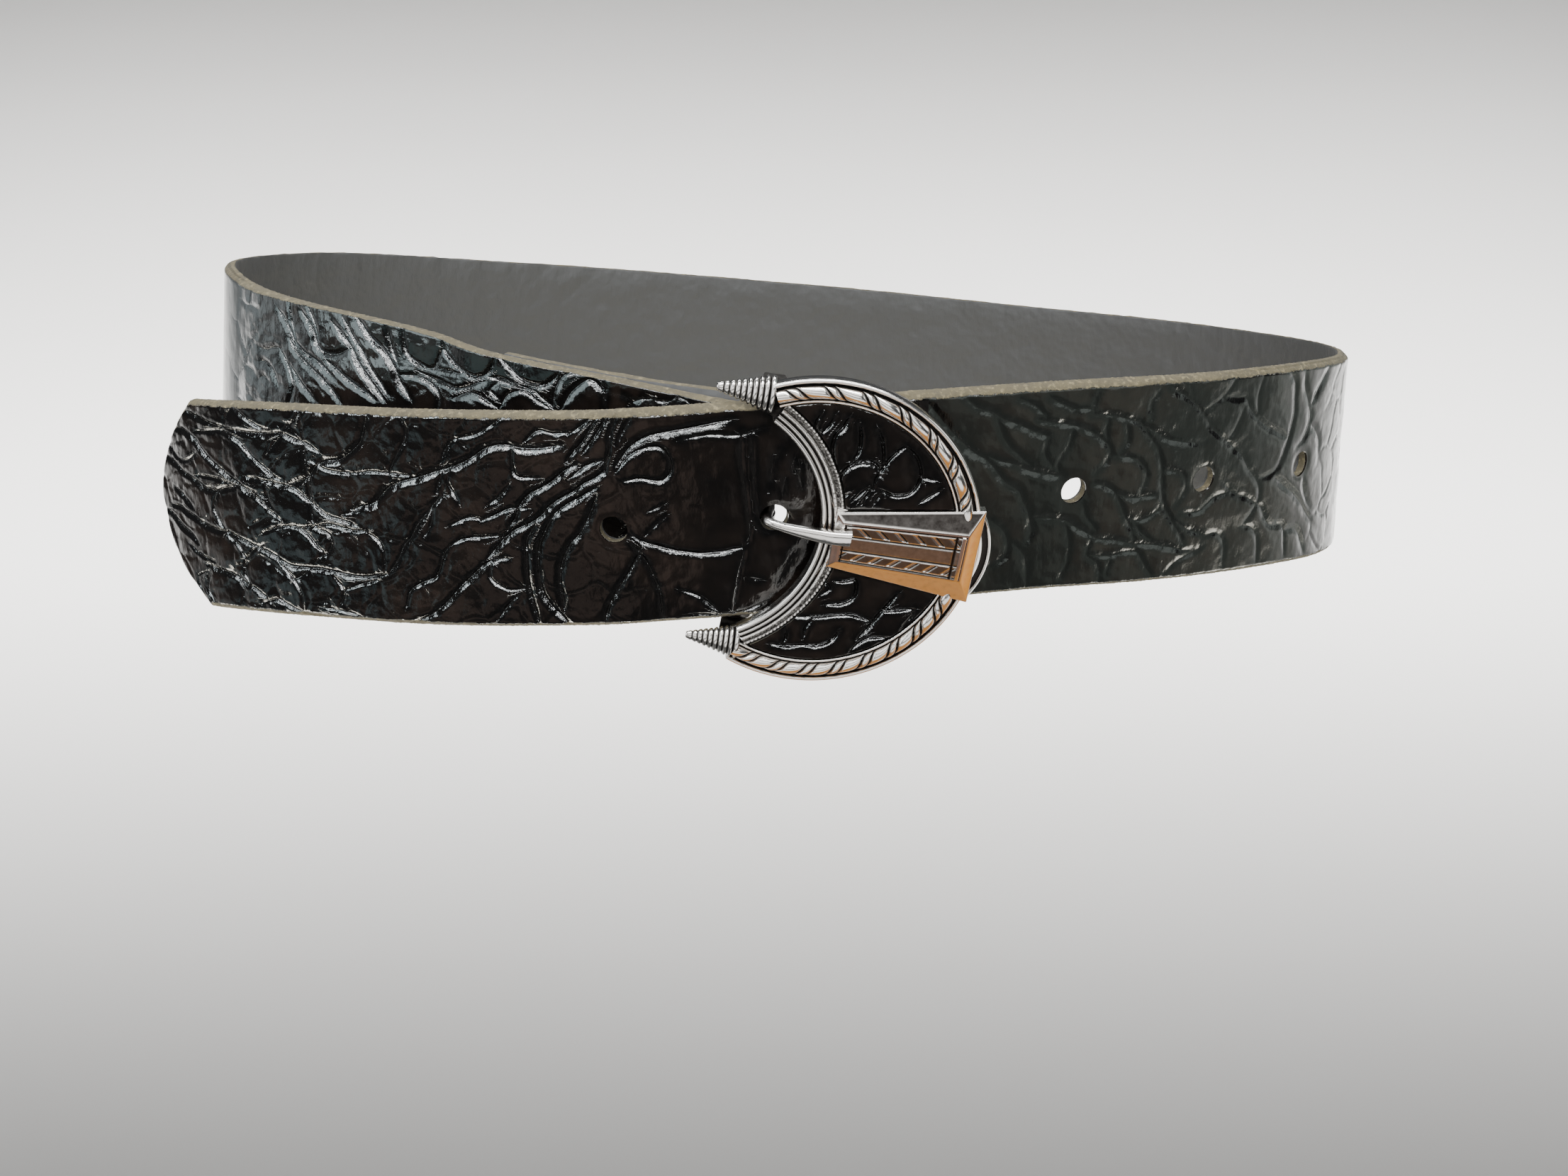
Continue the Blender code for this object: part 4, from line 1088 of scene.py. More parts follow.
def seat_level(from_turn=0.915, to_turn=1.012, rows=60, columns=9):
    """Height over the heel bar that clears the strap everywhere under the crescent."""
    turns = np.repeat(np.linspace(from_turn, to_turn, rows), columns)
    sides = np.tile(np.linspace(-0.5, 0.5, columns), rows)[:, None]
    p, along, across, out = strap_frames(turns)
    p = p + across * sides * belt_width + out * leather - bar_centre
    return float((p @ buckle_w)[p @ buckle_u > -0.05 * belt_width].max()) + seat_gap


seat = seat_level()
axes = Matrix([list(row) for row in zip(buckle_u, bar_axis, buckle_w)]).to_4x4()
bar_matrix = Matrix.Translation(Vector(bar_centre)) @ axes
buckle_matrix = Matrix.Translation(Vector(bar_centre + bar_axis * frame_slide
                                          + buckle_w * seat)) @ axes
print("the crescent sits", round(seat * 1000, 2), "mm over its heel bar")

# %% The crescent's circles
# Shares of belt_width: how far each centre is along the buckle, outer and inner radius
CIRCLES = {"outer band": (0.264, 0.713, 0.608), "hollow bar": (-0.284, 0.664, 0.564)}
END_CIRCLE = (0.662, 0.366)  # centre and outer radius of the far end's rims
band_centre, band_outer, band_inner = (belt_width * value for value in CIRCLES["outer band"])
rail_centre, rail_outer, rail_inner = (belt_width * value for value in CIRCLES["hollow bar"])
cap_centre, cap_outer = (belt_width * value for value in END_CIRCLE)
print("the crescent is", round(2000 * band_outer, 1), "mm across")


# %% [markdown]
# The buckle is cast in one, but it is easier to shape and to check as a few closed pieces that
# overlap inside each other: a thin floor, the outer band, the bar round the hollow side, the
# plate, the far end's rims and the two horns.  Antique silver is dipped in a black finish and
# then polished, so that black stays only where the cloth can't reach.  Each vertex stores how
# sheltered it is, as `patina`, and the finish reads that; on the plate's upward slope the same
# value holds painted shade instead.


# %% Put a finished piece in its place
def finish_piece(name, bm, matrix, material, node, sharp):
    """Welds, smooths and places a piece, and hides the solid of the frame that it stands for."""
    bmesh.ops.remove_doubles(bm, verts=bm.verts, dist=0.000004)
    bmesh.ops.recalc_face_normals(bm, faces=bm.faces)
    piece = new_object(name, bm)
    piece.data.transform(matrix)
    piece.data.shade_smooth()
    piece.data.set_sharp_from_angle(angle=math.radians(sharp))
    piece.data.materials.append(material)
    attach(piece, "root")
    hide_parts(node)
    print(name, "has", len(piece.data.polygons), "faces")


def silver_piece(name, bm, sharp=35):
    finish_piece(name, bm, buckle_matrix, antique_silver, "buckle_frame", sharp)


# %% The antique finish
def antique():
    """Bright silver where it is polished, and black where the patina is sheltered and where painted
    shade is stored with it, on the plate's upward slope.
    """
    material, tree, shader = new_material("antique_silver")
    place, patina = object_place(tree), stored(tree, "patina")
    blotch = noise(tree, place, 700, 4, 0.6)
    worn = plus(tree, patina, times(tree, plus(tree, blotch, -0.5), 0.35))
    black = ramp(tree, worn, (0.08, 0.0), (0.55, 0.75), (0.95, 1.0))
    bright = mix_colour(tree, noise(tree, place, 150, 3), (0.90, 0.885, 0.86), (0.78, 0.755, 0.72))
    tree.links.new(mix_colour(tree, black, bright, (0.030, 0.026, 0.024)),
                   shader.inputs["Base Color"])
    shader.inputs["Metallic"].default_value = 1.0
    dull = plus(tree, plus(tree, 0.13, times(tree, black, 0.30)),
                times(tree, noise(tree, place, 1500, 3), 0.10))
    tree.links.new(dull, shader.inputs["Roughness"])
    tree.links.new(bumps(tree, (noise(tree, place, 420, 3), 0.00008, 0.5),
                         (blotch, 0.00006, 0.35)), shader.inputs["Normal"])
    return material


antique_silver = antique()
print("antique silver is mixed")

# %% [markdown]
# The outer band carries a twisted edge: long leaves with one thin strand between them, wound
# like a rope.  Its plain section is spun round the crescent's centre first, and then the crown
# is cut: a winding groove on a round rope runs along the arcsine of its height, which gives the
# drawn out S of each groove.  The twist mirrors about the buckle's axis, as on the real one.

# %% Spun bands
# Each row: mm in from the outer edge, height in mm, patina
BAND = ((0.30, 0.0, 0.3), (0.02, 0.30, 0.2), (0.0, 1.30, 0.0), (0.0, 2.30, 0.0), (0.06, 2.62, 0.0),
        (0.20, 2.86, 0.0), (0.42, 2.98, 0.0), (0.66, 2.92, 0.0), (0.84, 2.72, 0.0),
        (0.93, 2.40, 0.5), (0.98, 2.10, 1.0), (1.15, 1.96, 1.0), (1.40, 1.96, 1.0))
BAND_END = ((4.45, 1.96, 1.0), (4.56, 1.96, 1.0), (4.63, 2.25, 0.8), (4.68, 2.65, 0.1),
            (4.80, 2.90, 0.0), (4.96, 2.96, 0.0), (5.12, 2.88, 0.0), (5.22, 2.66, 0.0),
            (5.25, 2.40, 0.2), (5.25, 1.20, 0.9), (5.25, 0.0, 0.9))
ROPE = (1.46, 4.40, 2.20, 1.85)  # from, to, foot and crown of the twisted edge, in mm
rope_columns = 25


def spin_rows(rows, turn_about, axis, angle, steps, start=0.0, closed=True):
    """Places (place, patina) rows as a line, turns it to its start and spins it round."""
    bm = bmesh.new()
    patina = bm.verts.layers.float.new("patina")
    line = [bm.verts.new(place) for place, _ in rows]
    for vert, (_, dark) in zip(line, rows):
        vert[patina] = dark
    edges = [bm.edges.new(pair) for pair in zip(line, line[1:] + (line[:1] if closed else []))]
    bmesh.ops.rotate(bm, cent=turn_about, matrix=Matrix.Rotation(start, 3, "Z"), verts=line)
    bmesh.ops.spin(bm, geom=line + edges, cent=turn_about, axis=axis, angle=angle, steps=steps)
    close_ends(bm)
    return bm, patina


def spun(profile, outer, centre, reach, steps):
    """A closed section of (mm in from the outer edge, height, patina) turned about the centre."""
    rows = [((centre + outer - inset / 1000, 0, height / 1000), dark)
            for inset, height, dark in profile]
    return spin_rows(rows, (centre, 0, 0), (0, 0, 1), 2 * reach, steps, -reach)


def about(centre, outer, vert):
    """Where a vertex is on a spun band: its angle, and how far in from the outer edge in mm."""
    away = Vector((vert.co.x - centre, vert.co.y))
    return math.atan2(away.y, away.x), (outer - away.length) * 1000


rope_rows = []
for column in range(rope_columns):
    t = math.cos(math.pi * (column + 0.5) / rope_columns)
    rope_rows.append(((ROPE[0] + ROPE[1]) / 2 - t * (ROPE[1] - ROPE[0]) / 2,
                      ROPE[2] + ROPE[3] * math.sqrt(1 - t * t), 0.0))
root_u = belt_width * -0.026
bm, patina = spun(BAND + tuple(rope_rows) + BAND_END, band_outer, band_centre,
                  math.acos((root_u - band_centre) / band_outer), 620)
print("the band has", len(bm.verts), "vertices before its rope is cut")

# %% Cut the rope
# Above and below the axis: one leaf and strand along the rope and where they start, in mm, and
# the strand's share of that
TWIST = {True: (7.9, 51.3, 0.28), False: (6.6, 46.5, 0.33)}
rope_radius, rope_wind = 32.5, 1.30  # mm that the twist is measured on, and its slant
groove_half_width = 0.22  # mm
for vert in bm.verts:
    angle, inset = about(band_centre, band_outer, vert)
    t = 1 - 2 * (inset - ROPE[0]) / (ROPE[1] - ROPE[0])
    if abs(t) < 1 and vert.co.z > 0.0021:
        pitch, start, strand = TWIST[angle > 0]
        winding = (abs(angle) * rope_radius - start - rope_wind * math.asin(t)) / pitch % 1.0
        inside = winding / strand if winding < strand else (winding - strand) / (1 - strand)
        edge = min(inside, 1 - inside) * pitch * (strand if winding < strand else 1 - strand)
        crown = math.sqrt(1 - t * t)
        groove = math.exp(-(edge * 0.72 / groove_half_width) ** 2)
        pillow = math.sin(math.pi * inside) ** 0.6
        vert.co.z = (ROPE[2] + crown * (ROPE[3] * (0.60 + 0.40 * pillow) - 0.60 * groove)) / 1000
        vert[patina] = min(1.0, 1.25 * groove ** 1.5 + max(0.0, 1 - crown / 0.35))
silver_piece("buckle_band", bm, 50)

# %% [markdown]
# The bar round the hollow side is three polished rails, a blackened granular strip and a beaded
# edge.  The same spun section makes it, with the beads and grains pressed into their own
# columns afterwards.

# %% The bar round the hollow
RAILS = ((0.0, 0.0, 0.9), (0.0, 1.9, 0.6), (0.06, 2.35, 0.0), (0.22, 2.56, 0.0), (0.42, 2.58, 0.0),
         (0.60, 2.45, 0.0), (0.70, 2.26, 0.7), (0.82, 2.20, 1.0), (0.98, 2.24, 0.85),
         (1.14, 2.26, 0.85), (1.30, 2.22, 1.0), (1.42, 2.30, 0.8), (1.50, 2.80, 0.1),
         (1.62, 3.10, 0.0), (1.85, 3.24, 0.0), (2.10, 3.22, 0.0), (2.30, 3.04, 0.0),
         (2.40, 2.70, 0.7), (2.52, 2.45, 1.0), (2.70, 2.45, 1.0), (2.80, 2.80, 0.6),
         (2.90, 3.14, 0.0), (3.10, 3.32, 0.0), (3.32, 3.34, 0.0), (3.52, 3.18, 0.0),
         (3.60, 2.85, 0.7), (3.70, 2.60, 1.0), (3.84, 2.60, 1.0), (3.92, 2.95, 0.5),
         (4.02, 3.28, 0.0), (4.24, 3.50, 0.0), (4.52, 3.54, 0.0), (4.78, 3.40, 0.0),
         (4.94, 3.10, 0.0), (5.0, 2.70, 0.0), (5.0, 0.30, 0.2), (4.80, 0.0, 0.3))
bar_reach = math.asin(0.99 * 0.582 * belt_width / rail_outer)
bm, patina = spun(RAILS, rail_outer, rail_centre, bar_reach, 330)
bead_pitch, bead_depth = 0.95, 0.00028  # along the bar in mm, and in metres
lump_height, waver = 0.00016, 0.00004
grain_of_cast = np.random.default_rng(11)
for vert in bm.verts:
    angle, inset = about(rail_centre, rail_outer, vert)
    if vert.co.z > 0.002:
        if 0.02 < inset < 0.66:
            bead = abs(math.sin(math.pi * angle * 33 / bead_pitch)) ** 0.7
            vert.co.z -= bead_depth * (1 - bead)
            vert[patina] = max(vert[patina], 0.75 * (1 - bead))
        elif 0.75 < inset < 1.36:
            lump = grain_of_cast.uniform(0, 1)
            vert.co.z += lump_height * lump
            vert[patina] = 1.0 - 0.75 * lump ** 2
        elif 1.5 < inset < 2.3:
            vert.co.z += waver * grain_of_cast.normal()
silver_piece("buckle_rails", bm, 50)


# %% [markdown]
# The floor of the crescent is a disc less a disc.  Both discs and the cut at the horns are
# plain cutters, and a Boolean takes the difference, as the punches did on the strap.  Small cast
# parts that stand proud get a bevel, because no cast edge is sharp.


# %% Discs, blocks and cuts
def solid(bm):
    bmesh.ops.recalc_face_normals(bm, faces=bm.faces)
    return new_object("tool", bm)


def disc(centre, radius, low, high, segments=200):
    bm = bmesh.new()
    bmesh.ops.create_cone(bm, cap_ends=True, segments=segments, radius1=radius, radius2=radius,
                          depth=high - low)
    bmesh.ops.translate(bm, verts=bm.verts, vec=(centre, 0, (low + high) / 2))
    return solid(bm)


def cube_with(place):
    """A cube whose corners go where place says, from the signs of their own coordinates."""
    bm = bmesh.new()
    bmesh.ops.create_cube(bm, size=1.0)
    for vert in bm.verts:
        vert.co = place(*(value > 0 for value in vert.co))
    return bm


def cut_with(body, *steps):
    """Applies (tool, operation) steps to a body and gives the result back as a bmesh."""
    for tool, operation in steps:
        combine(body, tool, operation)
    bm = bmesh.new()
    bm.from_mesh(body.data)
    bpy.data.objects.remove(body)
    return bm


def soften(bm, edges, offset, segments=3):
    bmesh.ops.bevel(bm, geom=edges, offset=offset, offset_type="OFFSET", affect="EDGES",
                    segments=segments, profile=0.5, material=-1)


def sharp_edges(bm, angle=40):
    return [e for e in bm.edges if e.calc_face_angle(0) > math.radians(angle)]


print("cutters are ready")

# %% The floor
past_crescent = 0.05  # metres
cut_at_horns = cube_with(lambda x, y, z: (
    root_u if x else -past_crescent, past_crescent if y else -past_crescent, 0.01 if z else -0.01))
bm = cut_with(disc(band_centre, band_outer - 0.0004, 0, floor_thickness),
              (disc(rail_centre, rail_inner + 0.0004, -0.001, 0.01), "DIFFERENCE"),
              (solid(cut_at_horns), "DIFFERENCE"))
soften(bm, sharp_edges(bm), 0.00015, 2)
patina = bm.verts.layers.float.new("patina")
for vert in bm.verts:
    vert[patina] = 0.9 if vert.co.z > 0.0011 else 0.15
silver_piece("buckle_floor", bm)

# %% [markdown]
# The plate is a low pyramid with its top cut off, so it is extruded up from a tapered block.
# Its top is inset and sunk into a tray, and the panel with its engraved bands lies in the tray
# as a fine grid, because the engraving needs many small faces and the slopes need none.

# %% The plate
# Along the buckle, half width of the base, top along, half width of the top, in shares
PLATE = ((0.334, 0.128, 0.366, 0.094), (0.968, 0.218, 0.912, 0.110))
(left, left_half, top_left, top_left_half), (right, right_half, top_right, top_right_half) = [
    [belt_width * value for value in row] for row in PLATE]
left_shoulder, right_shoulder = 0.80 * plate_height, 0.64 * plate_height
border_width, border_depth = 0.00055, 0.00006  # the line round each slope
# patina on the plate's slopes: painted shade on the slope that faces up across the buckle, a little
# real patina on the others
lit_slope, painted_shade_slope = 0.10, 0.86  # patina
tray_depth = 0.0006


def verts_of(geometry):
    return [item for item in geometry if isinstance(item, bmesh.types.BMVert)]


def pull_out(bm, face):
    """Extrudes one face and drops the old one; gives the new corners, still in place."""
    made = bmesh.ops.extrude_face_region(bm, geom=[face])["geom"]
    bmesh.ops.delete(bm, geom=[face], context="FACES_ONLY")
    return verts_of(made)


bm = cube_with(lambda x, y, z: (
    right if x else left, (1 if y else -1) * (right_half if x else left_half),
    (right_shoulder if x else left_shoulder) if z else 0.3 * floor_thickness))
patina = bm.verts.layers.float.new("patina")
top = max(bm.faces, key=lambda face: face.calc_center_median().z)
for vert in pull_out(bm, top):
    far = vert.co.x > (left + right) / 2
    vert.co = (top_right if far else top_left,
               math.copysign(top_right_half if far else top_left_half, vert.co.y), plate_height)
bmesh.ops.recalc_face_normals(bm, faces=bm.faces)
soften(bm, [e for e in bm.edges if all(v.co.z > 0.002 for v in e.verts)], 0.00022)
slopes = [face for face in sorted(bm.faces, key=lambda face: -face.calc_area())
          if 0.2 < face.normal.z < 0.97 and face.calc_area() > 1e-5]
slope_patina_and_shade = {}
for face in slopes:
    bmesh.ops.inset_region(bm, faces=[face], thickness=border_width, depth=-border_depth)
    # the slope facing up across the buckle takes painted shade, the others a little patina
    shade = painted_shade_slope if face.normal.y > 0.3 else lit_slope
    slope_patina_and_shade.update({vert: shade for vert in face.verts})
top = max(bm.faces, key=lambda face: (round(face.calc_center_median().z, 5), face.calc_area()))
bmesh.ops.inset_region(bm, faces=[top], thickness=0.00012, depth=0)
bmesh.ops.translate(bm, verts=pull_out(bm, top), vec=(0, 0, -tray_depth))
for vert in bm.verts:
    in_tray = abs(vert.co.z - plate_height + tray_depth) < 0.0001 and abs(vert.co.y) < 0.0054
    vert[patina] = 1.0 if in_tray else slope_patina_and_shade.get(vert, 0.0)
silver_piece("buckle_plate", bm, 25)

# %% [markdown]
# The engraving is worked out as a height for every vertex of the panel: four long lines, two
# bands of slanting cuts that are steep on one side and gentle on the other, as a graver leaves
# them, and a line across each end.  Each cut also keeps its black in the patina.

# %% The engraved panel
# Across the panel as shares of its half width, then half width of the line
LONG_LINES = ((0.955, 0.045), (0.355, 0.045), (-0.385, 0.045), (-0.955, 0.045))
# Band from, to, which way its cuts lean, and where the first one is in mm along the buckle
SLANTING_BANDS = ((0.42, 0.88, -1, 21.6), (-0.88, -0.45, 1, 21.0))
cut_pitch, cut_slant = 4.0, 1.05  # mm along, and mm along for each mm across
END_LINES = ((43.15, 0.34), (19.0, 0.16))  # mm along, half width


def bell(x, middle, half_width):
    return math.exp(-((x - middle) / half_width) ** 2)


def engraving(u, share):
    """Height and patina of the panel: u in mm along it, share of its half width across it."""
    height, dark = 0.0, 0.0
    for line, width in LONG_LINES:
        cut = bell(share, line, width)
        height, dark = min(height, -0.34 * cut), max(dark, cut)
    for low, high, lean, first in SLANTING_BANDS:
        if low < share < high:
            middle = (share - (low + high) / 2) * 5.0
            run = (u - first - lean * middle * cut_slant) / cut_pitch % 1.0
            away = (run - 0.5) * cut_pitch * 0.72
            fade = ease(min(share - low, high - share) / 0.07)
            steep = bell(away, 0, 0.17)
            slope = max(0.0, 1 - abs(away + 0.55) / 0.50) if away < 0 else 0.0
            height = min(height, -(0.36 * steep + 0.20 * slope) * fade)
            dark = max(dark, steep * fade, 0.62 * (1 - slope) * (1 - steep) * fade)
    if -0.33 < share < 0.30:
        dark = max(dark, 0.42)
    end = min(1, sum(bell(u, *line) for line in END_LINES))
    return min(height, -0.40 * end), max(dark, end)


def slab(bm, columns, rows):
    """Makes a fine flat slab, from -1 to 1 both ways, and gives its raised vertices."""
    bmesh.ops.create_grid(bm, x_segments=columns, y_segments=rows, size=1.0)
    return set(verts_of(bmesh.ops.extrude_face_region(bm, geom=bm.faces[:])["geom"]))


panel_from, panel_to = top_left + 0.00036, top_right - 0.00040
panel_inset, panel_under = 0.00036, 0.0011
bm = bmesh.new()
patina = bm.verts.layers.float.new("patina")
raised = slab(bm, 250, 84)
for vert in bm.verts:
    q = (vert.co.x + 1) / 2
    u = panel_from + (panel_to - panel_from) * q
    half = top_left_half + (top_right_half - top_left_half) * q - panel_inset
    height, dark = engraving(u * 1000, vert.co.y)
    w = plate_height + (height / 1000 - 0.00004 if vert in raised else -panel_under)
    vert[patina] = min(1.0, dark)
    vert.co = (u, vert.co.y * half, w)
bmesh.ops.reverse_faces(bm, faces=[f for f in bm.faces if not any(v in raised for v in f.verts)])
silver_piece("buckle_panel", bm, 60)

# %% [markdown]
# Three small castings finish the crescent's far side: the cross ridge at the panel's end, the
# two rims round the far end, and the webs that fill the corners between the rails and the plate.

# %% The cross ridge
# Its foot and its top: from and to along the buckle, share of the plate's half width, level
RIDGE = {False: (0.04395, 0.0455, 0.97, -0.0012), True: (0.04415, 0.0450, 0.93, 0.00045)}


def ridge_corner(x, y, z):
    near, far, share, level = RIDGE[z]
    return far if x else near, (1 if y else -1) * top_right_half * share, plate_height + level


bm = cube_with(ridge_corner)
soften(bm, sharp_edges(bm), 0.00022)
silver_piece("buckle_ridge", bm)

# %% The rims round the far end
CAP = ((0.24, 0.12, 0.3), (0.0, 0.5, 0.1), (0.0, 2.1, 0.0), (0.07, 2.55, 0.0), (0.25, 2.86, 0.0),
       (0.48, 2.96, 0.0), (0.68, 2.80, 0.0), (0.80, 2.45, 0.4), (0.86, 2.05, 1.0),
       (1.20, 1.95, 1.0), (1.70, 2.0, 1.0), (1.90, 2.10, 0.9), (1.98, 2.60, 0.2),
       (2.08, 2.92, 0.0), (2.36, 3.12, 0.0), (2.70, 3.10, 0.0), (2.92, 2.90, 0.0),
       (3.02, 2.50, 0.6), (3.5, 2.20, 1.0), (9.5, 1.60, 0.5), (9.5, 0.12, 0.5))
bm, patina = spun(CAP, cap_outer, cap_centre, math.asin(0.95 * right_half / cap_outer), 90)
silver_piece("buckle_end", bm, 50)

# %% The webs
WEB = ((14.2, 11.0), (14.9, 9.4), (15.6, 8.2), (16.5, 7.35), (17.6, 6.95), (19.2, 6.85),
       (19.2, 5.6), (16.4, 5.0), (15.5, 7.4), (13.4, 11.2))  # along and off the axis, in mm
web_low, web_thickness = 0.0009, 0.00185
SIDES = ((1, "upper"), (-1, "lower"))
for side, side_name in SIDES:
    bm = bmesh.new()
    face = bm.faces.new([bm.verts.new((u / 1000, side * v / 1000, web_low)) for u, v in WEB])
    raised = bmesh.ops.extrude_face_region(bm, geom=[face])["geom"]
    bmesh.ops.translate(bm, verts=verts_of(raised), vec=(0, 0, web_thickness))
    bmesh.ops.recalc_face_normals(bm, faces=bm.faces)
    soften(bm, sharp_edges(bm, 60), 0.00025)
    silver_piece("buckle_web_" + side_name, bm)

# %% [markdown]
# Each end of the crescent is bound off in a ringed horn that tapers to a point.  The horn's
# outline is spun half a turn about its own axis, because the horn is flat on its back.

# %% Horns
# Root along the axis, distance from it, length, root and tip radius in shares of belt_width
HORNS = (("upper", -0.026, 0.592, 0.225, 0.084, 0.020),
         ("lower", 0.008, -0.582, 0.216, 0.080, 0.018))
horn_rings = 9
# Along from the root in shares of width, share of the root's radius, patina
COLLAR = ((0.014, 0.86, 0.9), (0.011, 0.95, 0.2), (0.004, 1.00, 0.0), (-0.004, 0.98, 0.1),
          (-0.010, 0.84, 1.0))
collar_end = 0.014
# Part of one ring, share of the radius there, patina
RING = ((0.0, 0.80, 1.0), (0.10, 0.90, 0.6), (0.24, 0.985, 0.0), (0.45, 1.02, 0.0),
        (0.66, 0.985, 0.0), (0.84, 0.91, 0.4))
# Past the tip in shares of width, share of its radius
POINT = ((0.002, 0.9), (0.006, 0.55))
for side_name, start, away, length, root, tip in HORNS:
    rows = [(along, share * root, dark) for along, share, dark in COLLAR]
    for ring in range(horn_rings):
        for part, swell, dark in RING:
            q = (ring + part) / horn_rings
            radius = root + (tip - root) * q ** 0.92
            rows.append((-collar_end - (length - collar_end) * q, radius * swell, dark))
    rows += [(-length - past, share * tip, 0.0) for past, share in POINT]
    bm, patina = spin_rows([((belt_width * (start + u), belt_width * r, 0), dark)
                            for u, r, dark in rows],
                           (0, 0, 0), (1, 0, 0), math.pi, 30, closed=False)
    bmesh.ops.translate(bm, verts=bm.verts, vec=(0, belt_width * away, 0))
    silver_piece("horn_" + side_name, bm, 60)

# %% [markdown]
# Behind the crescent two lugs reach down past the strap's edges and carry the heel bar that the
# strap is folded round.  They hardly show, so they are plain castings with soft edges.

# %% Lugs and heel bar
crossing = math.radians(17)  # slant between the two laps that the lugs leave room for
lug_play = 0.012 * belt_width
lapped = belt_width / 2 / math.cos(crossing)
inside = {side: max(lapped + side * tail_lift, belt_width / 2) + lug_play for side in (1, -1)}


def lug_corner(side, x, y, z):
    wide = lug_thickness if z else 0.65 * lug_thickness
    return ((1 if x else -1) * bar_radius * (1.9 if z else 1.2),
            side * (inside[side] + (wide if y else 0)) - frame_slide,
            0.6 * floor_thickness if z else -seat - 1.2 * bar_radius)


for side, side_name in SIDES:
    bm = cube_with(lambda *corner: lug_corner(side, *corner))
    bmesh.ops.recalc_face_normals(bm, faces=bm.faces)
    soften(bm, sharp_edges(bm), 0.0004)
    patina = bm.verts.layers.float.new("patina")
    for vert in bm.verts:
        vert[patina] = 0.85
    silver_piece("lug_" + side_name, bm)
bm = bmesh.new()
bmesh.ops.create_cone(bm, cap_ends=True, segments=40, radius1=bar_radius, radius2=bar_radius,
                      depth=inside[1] + inside[-1] + 0.8 * lug_thickness)
bmesh.ops.rotate(bm, verts=bm.verts, cent=(0, 0, 0), matrix=Matrix.Rotation(math.pi / 2, 3, "X"))
bmesh.ops.translate(bm, verts=bm.verts, vec=(0, (inside[1] - inside[-1]) / 2 - frame_slide, -seat))
silver_piece("heel_bar", bm)

# %% [markdown]
# The two fields of the crescent are filled with the strap's own leather, cut to shape and laid
# between the rims.  A fine slab is cut with the same discs as the floor, a little smaller, and
# its top is then stamped with the creases that this small offcut shows.

# %% The inlaid leather
# Each row: depth, half width, then the line as (along, across) in mm from the buckle's axis
INLAY_CREASES = (
    (0.30, 0.50, (9.6, 27.5), (8.9, 25.5), (9.3, 23.4)),
    (0.30, 0.55, (12.6, 27.6), (12.0, 25.6), (11.0, 24.0), (10.3, 23.2)),
    (0.36, 0.60, (15.6, 27.5), (14.8, 25.4), (13.6, 23.6), (13.2, 21.0), (13.7, 18.0), (14.2, 15.4),
     (14.8, 12.6)),
    (0.30, 0.50, (18.0, 26.6), (18.6, 24.6), (19.0, 22.0), (18.8, 19.8), (18.2, 18.2)),
    (0.36, 0.60, (15.8, 11.4), (15.9, 13.6), (17.0, 15.8), (18.9, 17.5), (21.6, 18.2),
     (23.4, 17.6), (24.4, 15.8)),
    (0.30, 0.50, (23.6, 12.4), (23.8, 14.8), (24.8, 17.6), (26.4, 20.6), (28.6, 23.0)),
    (0.26, 0.40, (17.0, 9.0), (18.6, 10.6)), (0.26, 0.40, (20.2, 9.6), (22.0, 12.2)),
    (0.26, 0.40, (21.8, 8.8), (22.8, 11.8)), (0.26, 0.40, (24.4, 9.2), (25.4, 11.6)),
    (0.26, 0.45, (28.6, 23.0), (31.6, 20.4), (33.0, 16.4), (31.6, 12.6), (28.2, 11.4),
     (25.4, 12.4)),
    (0.26, 0.45, (33.0, 16.4), (36.0, 16.2)), (0.22, 0.40, (34.4, 11.0), (37.4, 13.8)),
    (0.26, 0.45, (22.0, 26.0), (23.4, 23.4), (24.2, 20.6), (24.8, 17.6)),
    (0.34, 0.50, (19.6, -10.4), (21.4, -10.2), (23.5, -9.6), (24.2, -12.0), (23.6, -14.2),
     (21.6, -15.6), (18.4, -16.2)),
    (0.30, 0.45, (17.2, -10.8), (18.4, -12.4), (17.2, -13.8)),
    (0.30, 0.50, (12.8, -20.2), (16.6, -19.6), (20.4, -18.6), (24.4, -18.0), (28.4, -18.8)),
    (0.30, 0.50, (15.8, -20.4), (14.8, -22.6), (14.8, -24.2)),
    (0.34, 0.50, (14.8, -26.8), (18.0, -26.6), (19.8, -25.8), (21.4, -24.2), (22.2, -22.2)),
    (0.30, 0.50, (8.2, -27.6), (11.6, -27.6), (14.6, -26.9)),
    (0.36, 0.60, (26.6, -23.6), (28.4, -20.8), (30.0, -17.6), (32.0, -14.0), (33.4, -11.6)),
    (0.30, 0.45, (30.6, -16.2), (34.0, -15.4), (37.6, -14.6)),
    (0.30, 0.50, (25.8, -26.4), (27.4, -24.4), (29.4, -23.0), (33.0, -22.4)),
    (0.26, 0.45, (10.4, -23.2), (11.0, -25.4), (10.2, -27.4)),
    (0.26, 0.45, (36.0, -18.8), (37.4, -16.6), (37.6, -14.6)),
)
inlay_field = crease_field(INLAY_CREASES, 0.14)
print(len(INLAY_CREASES), "creases on the two inlays")

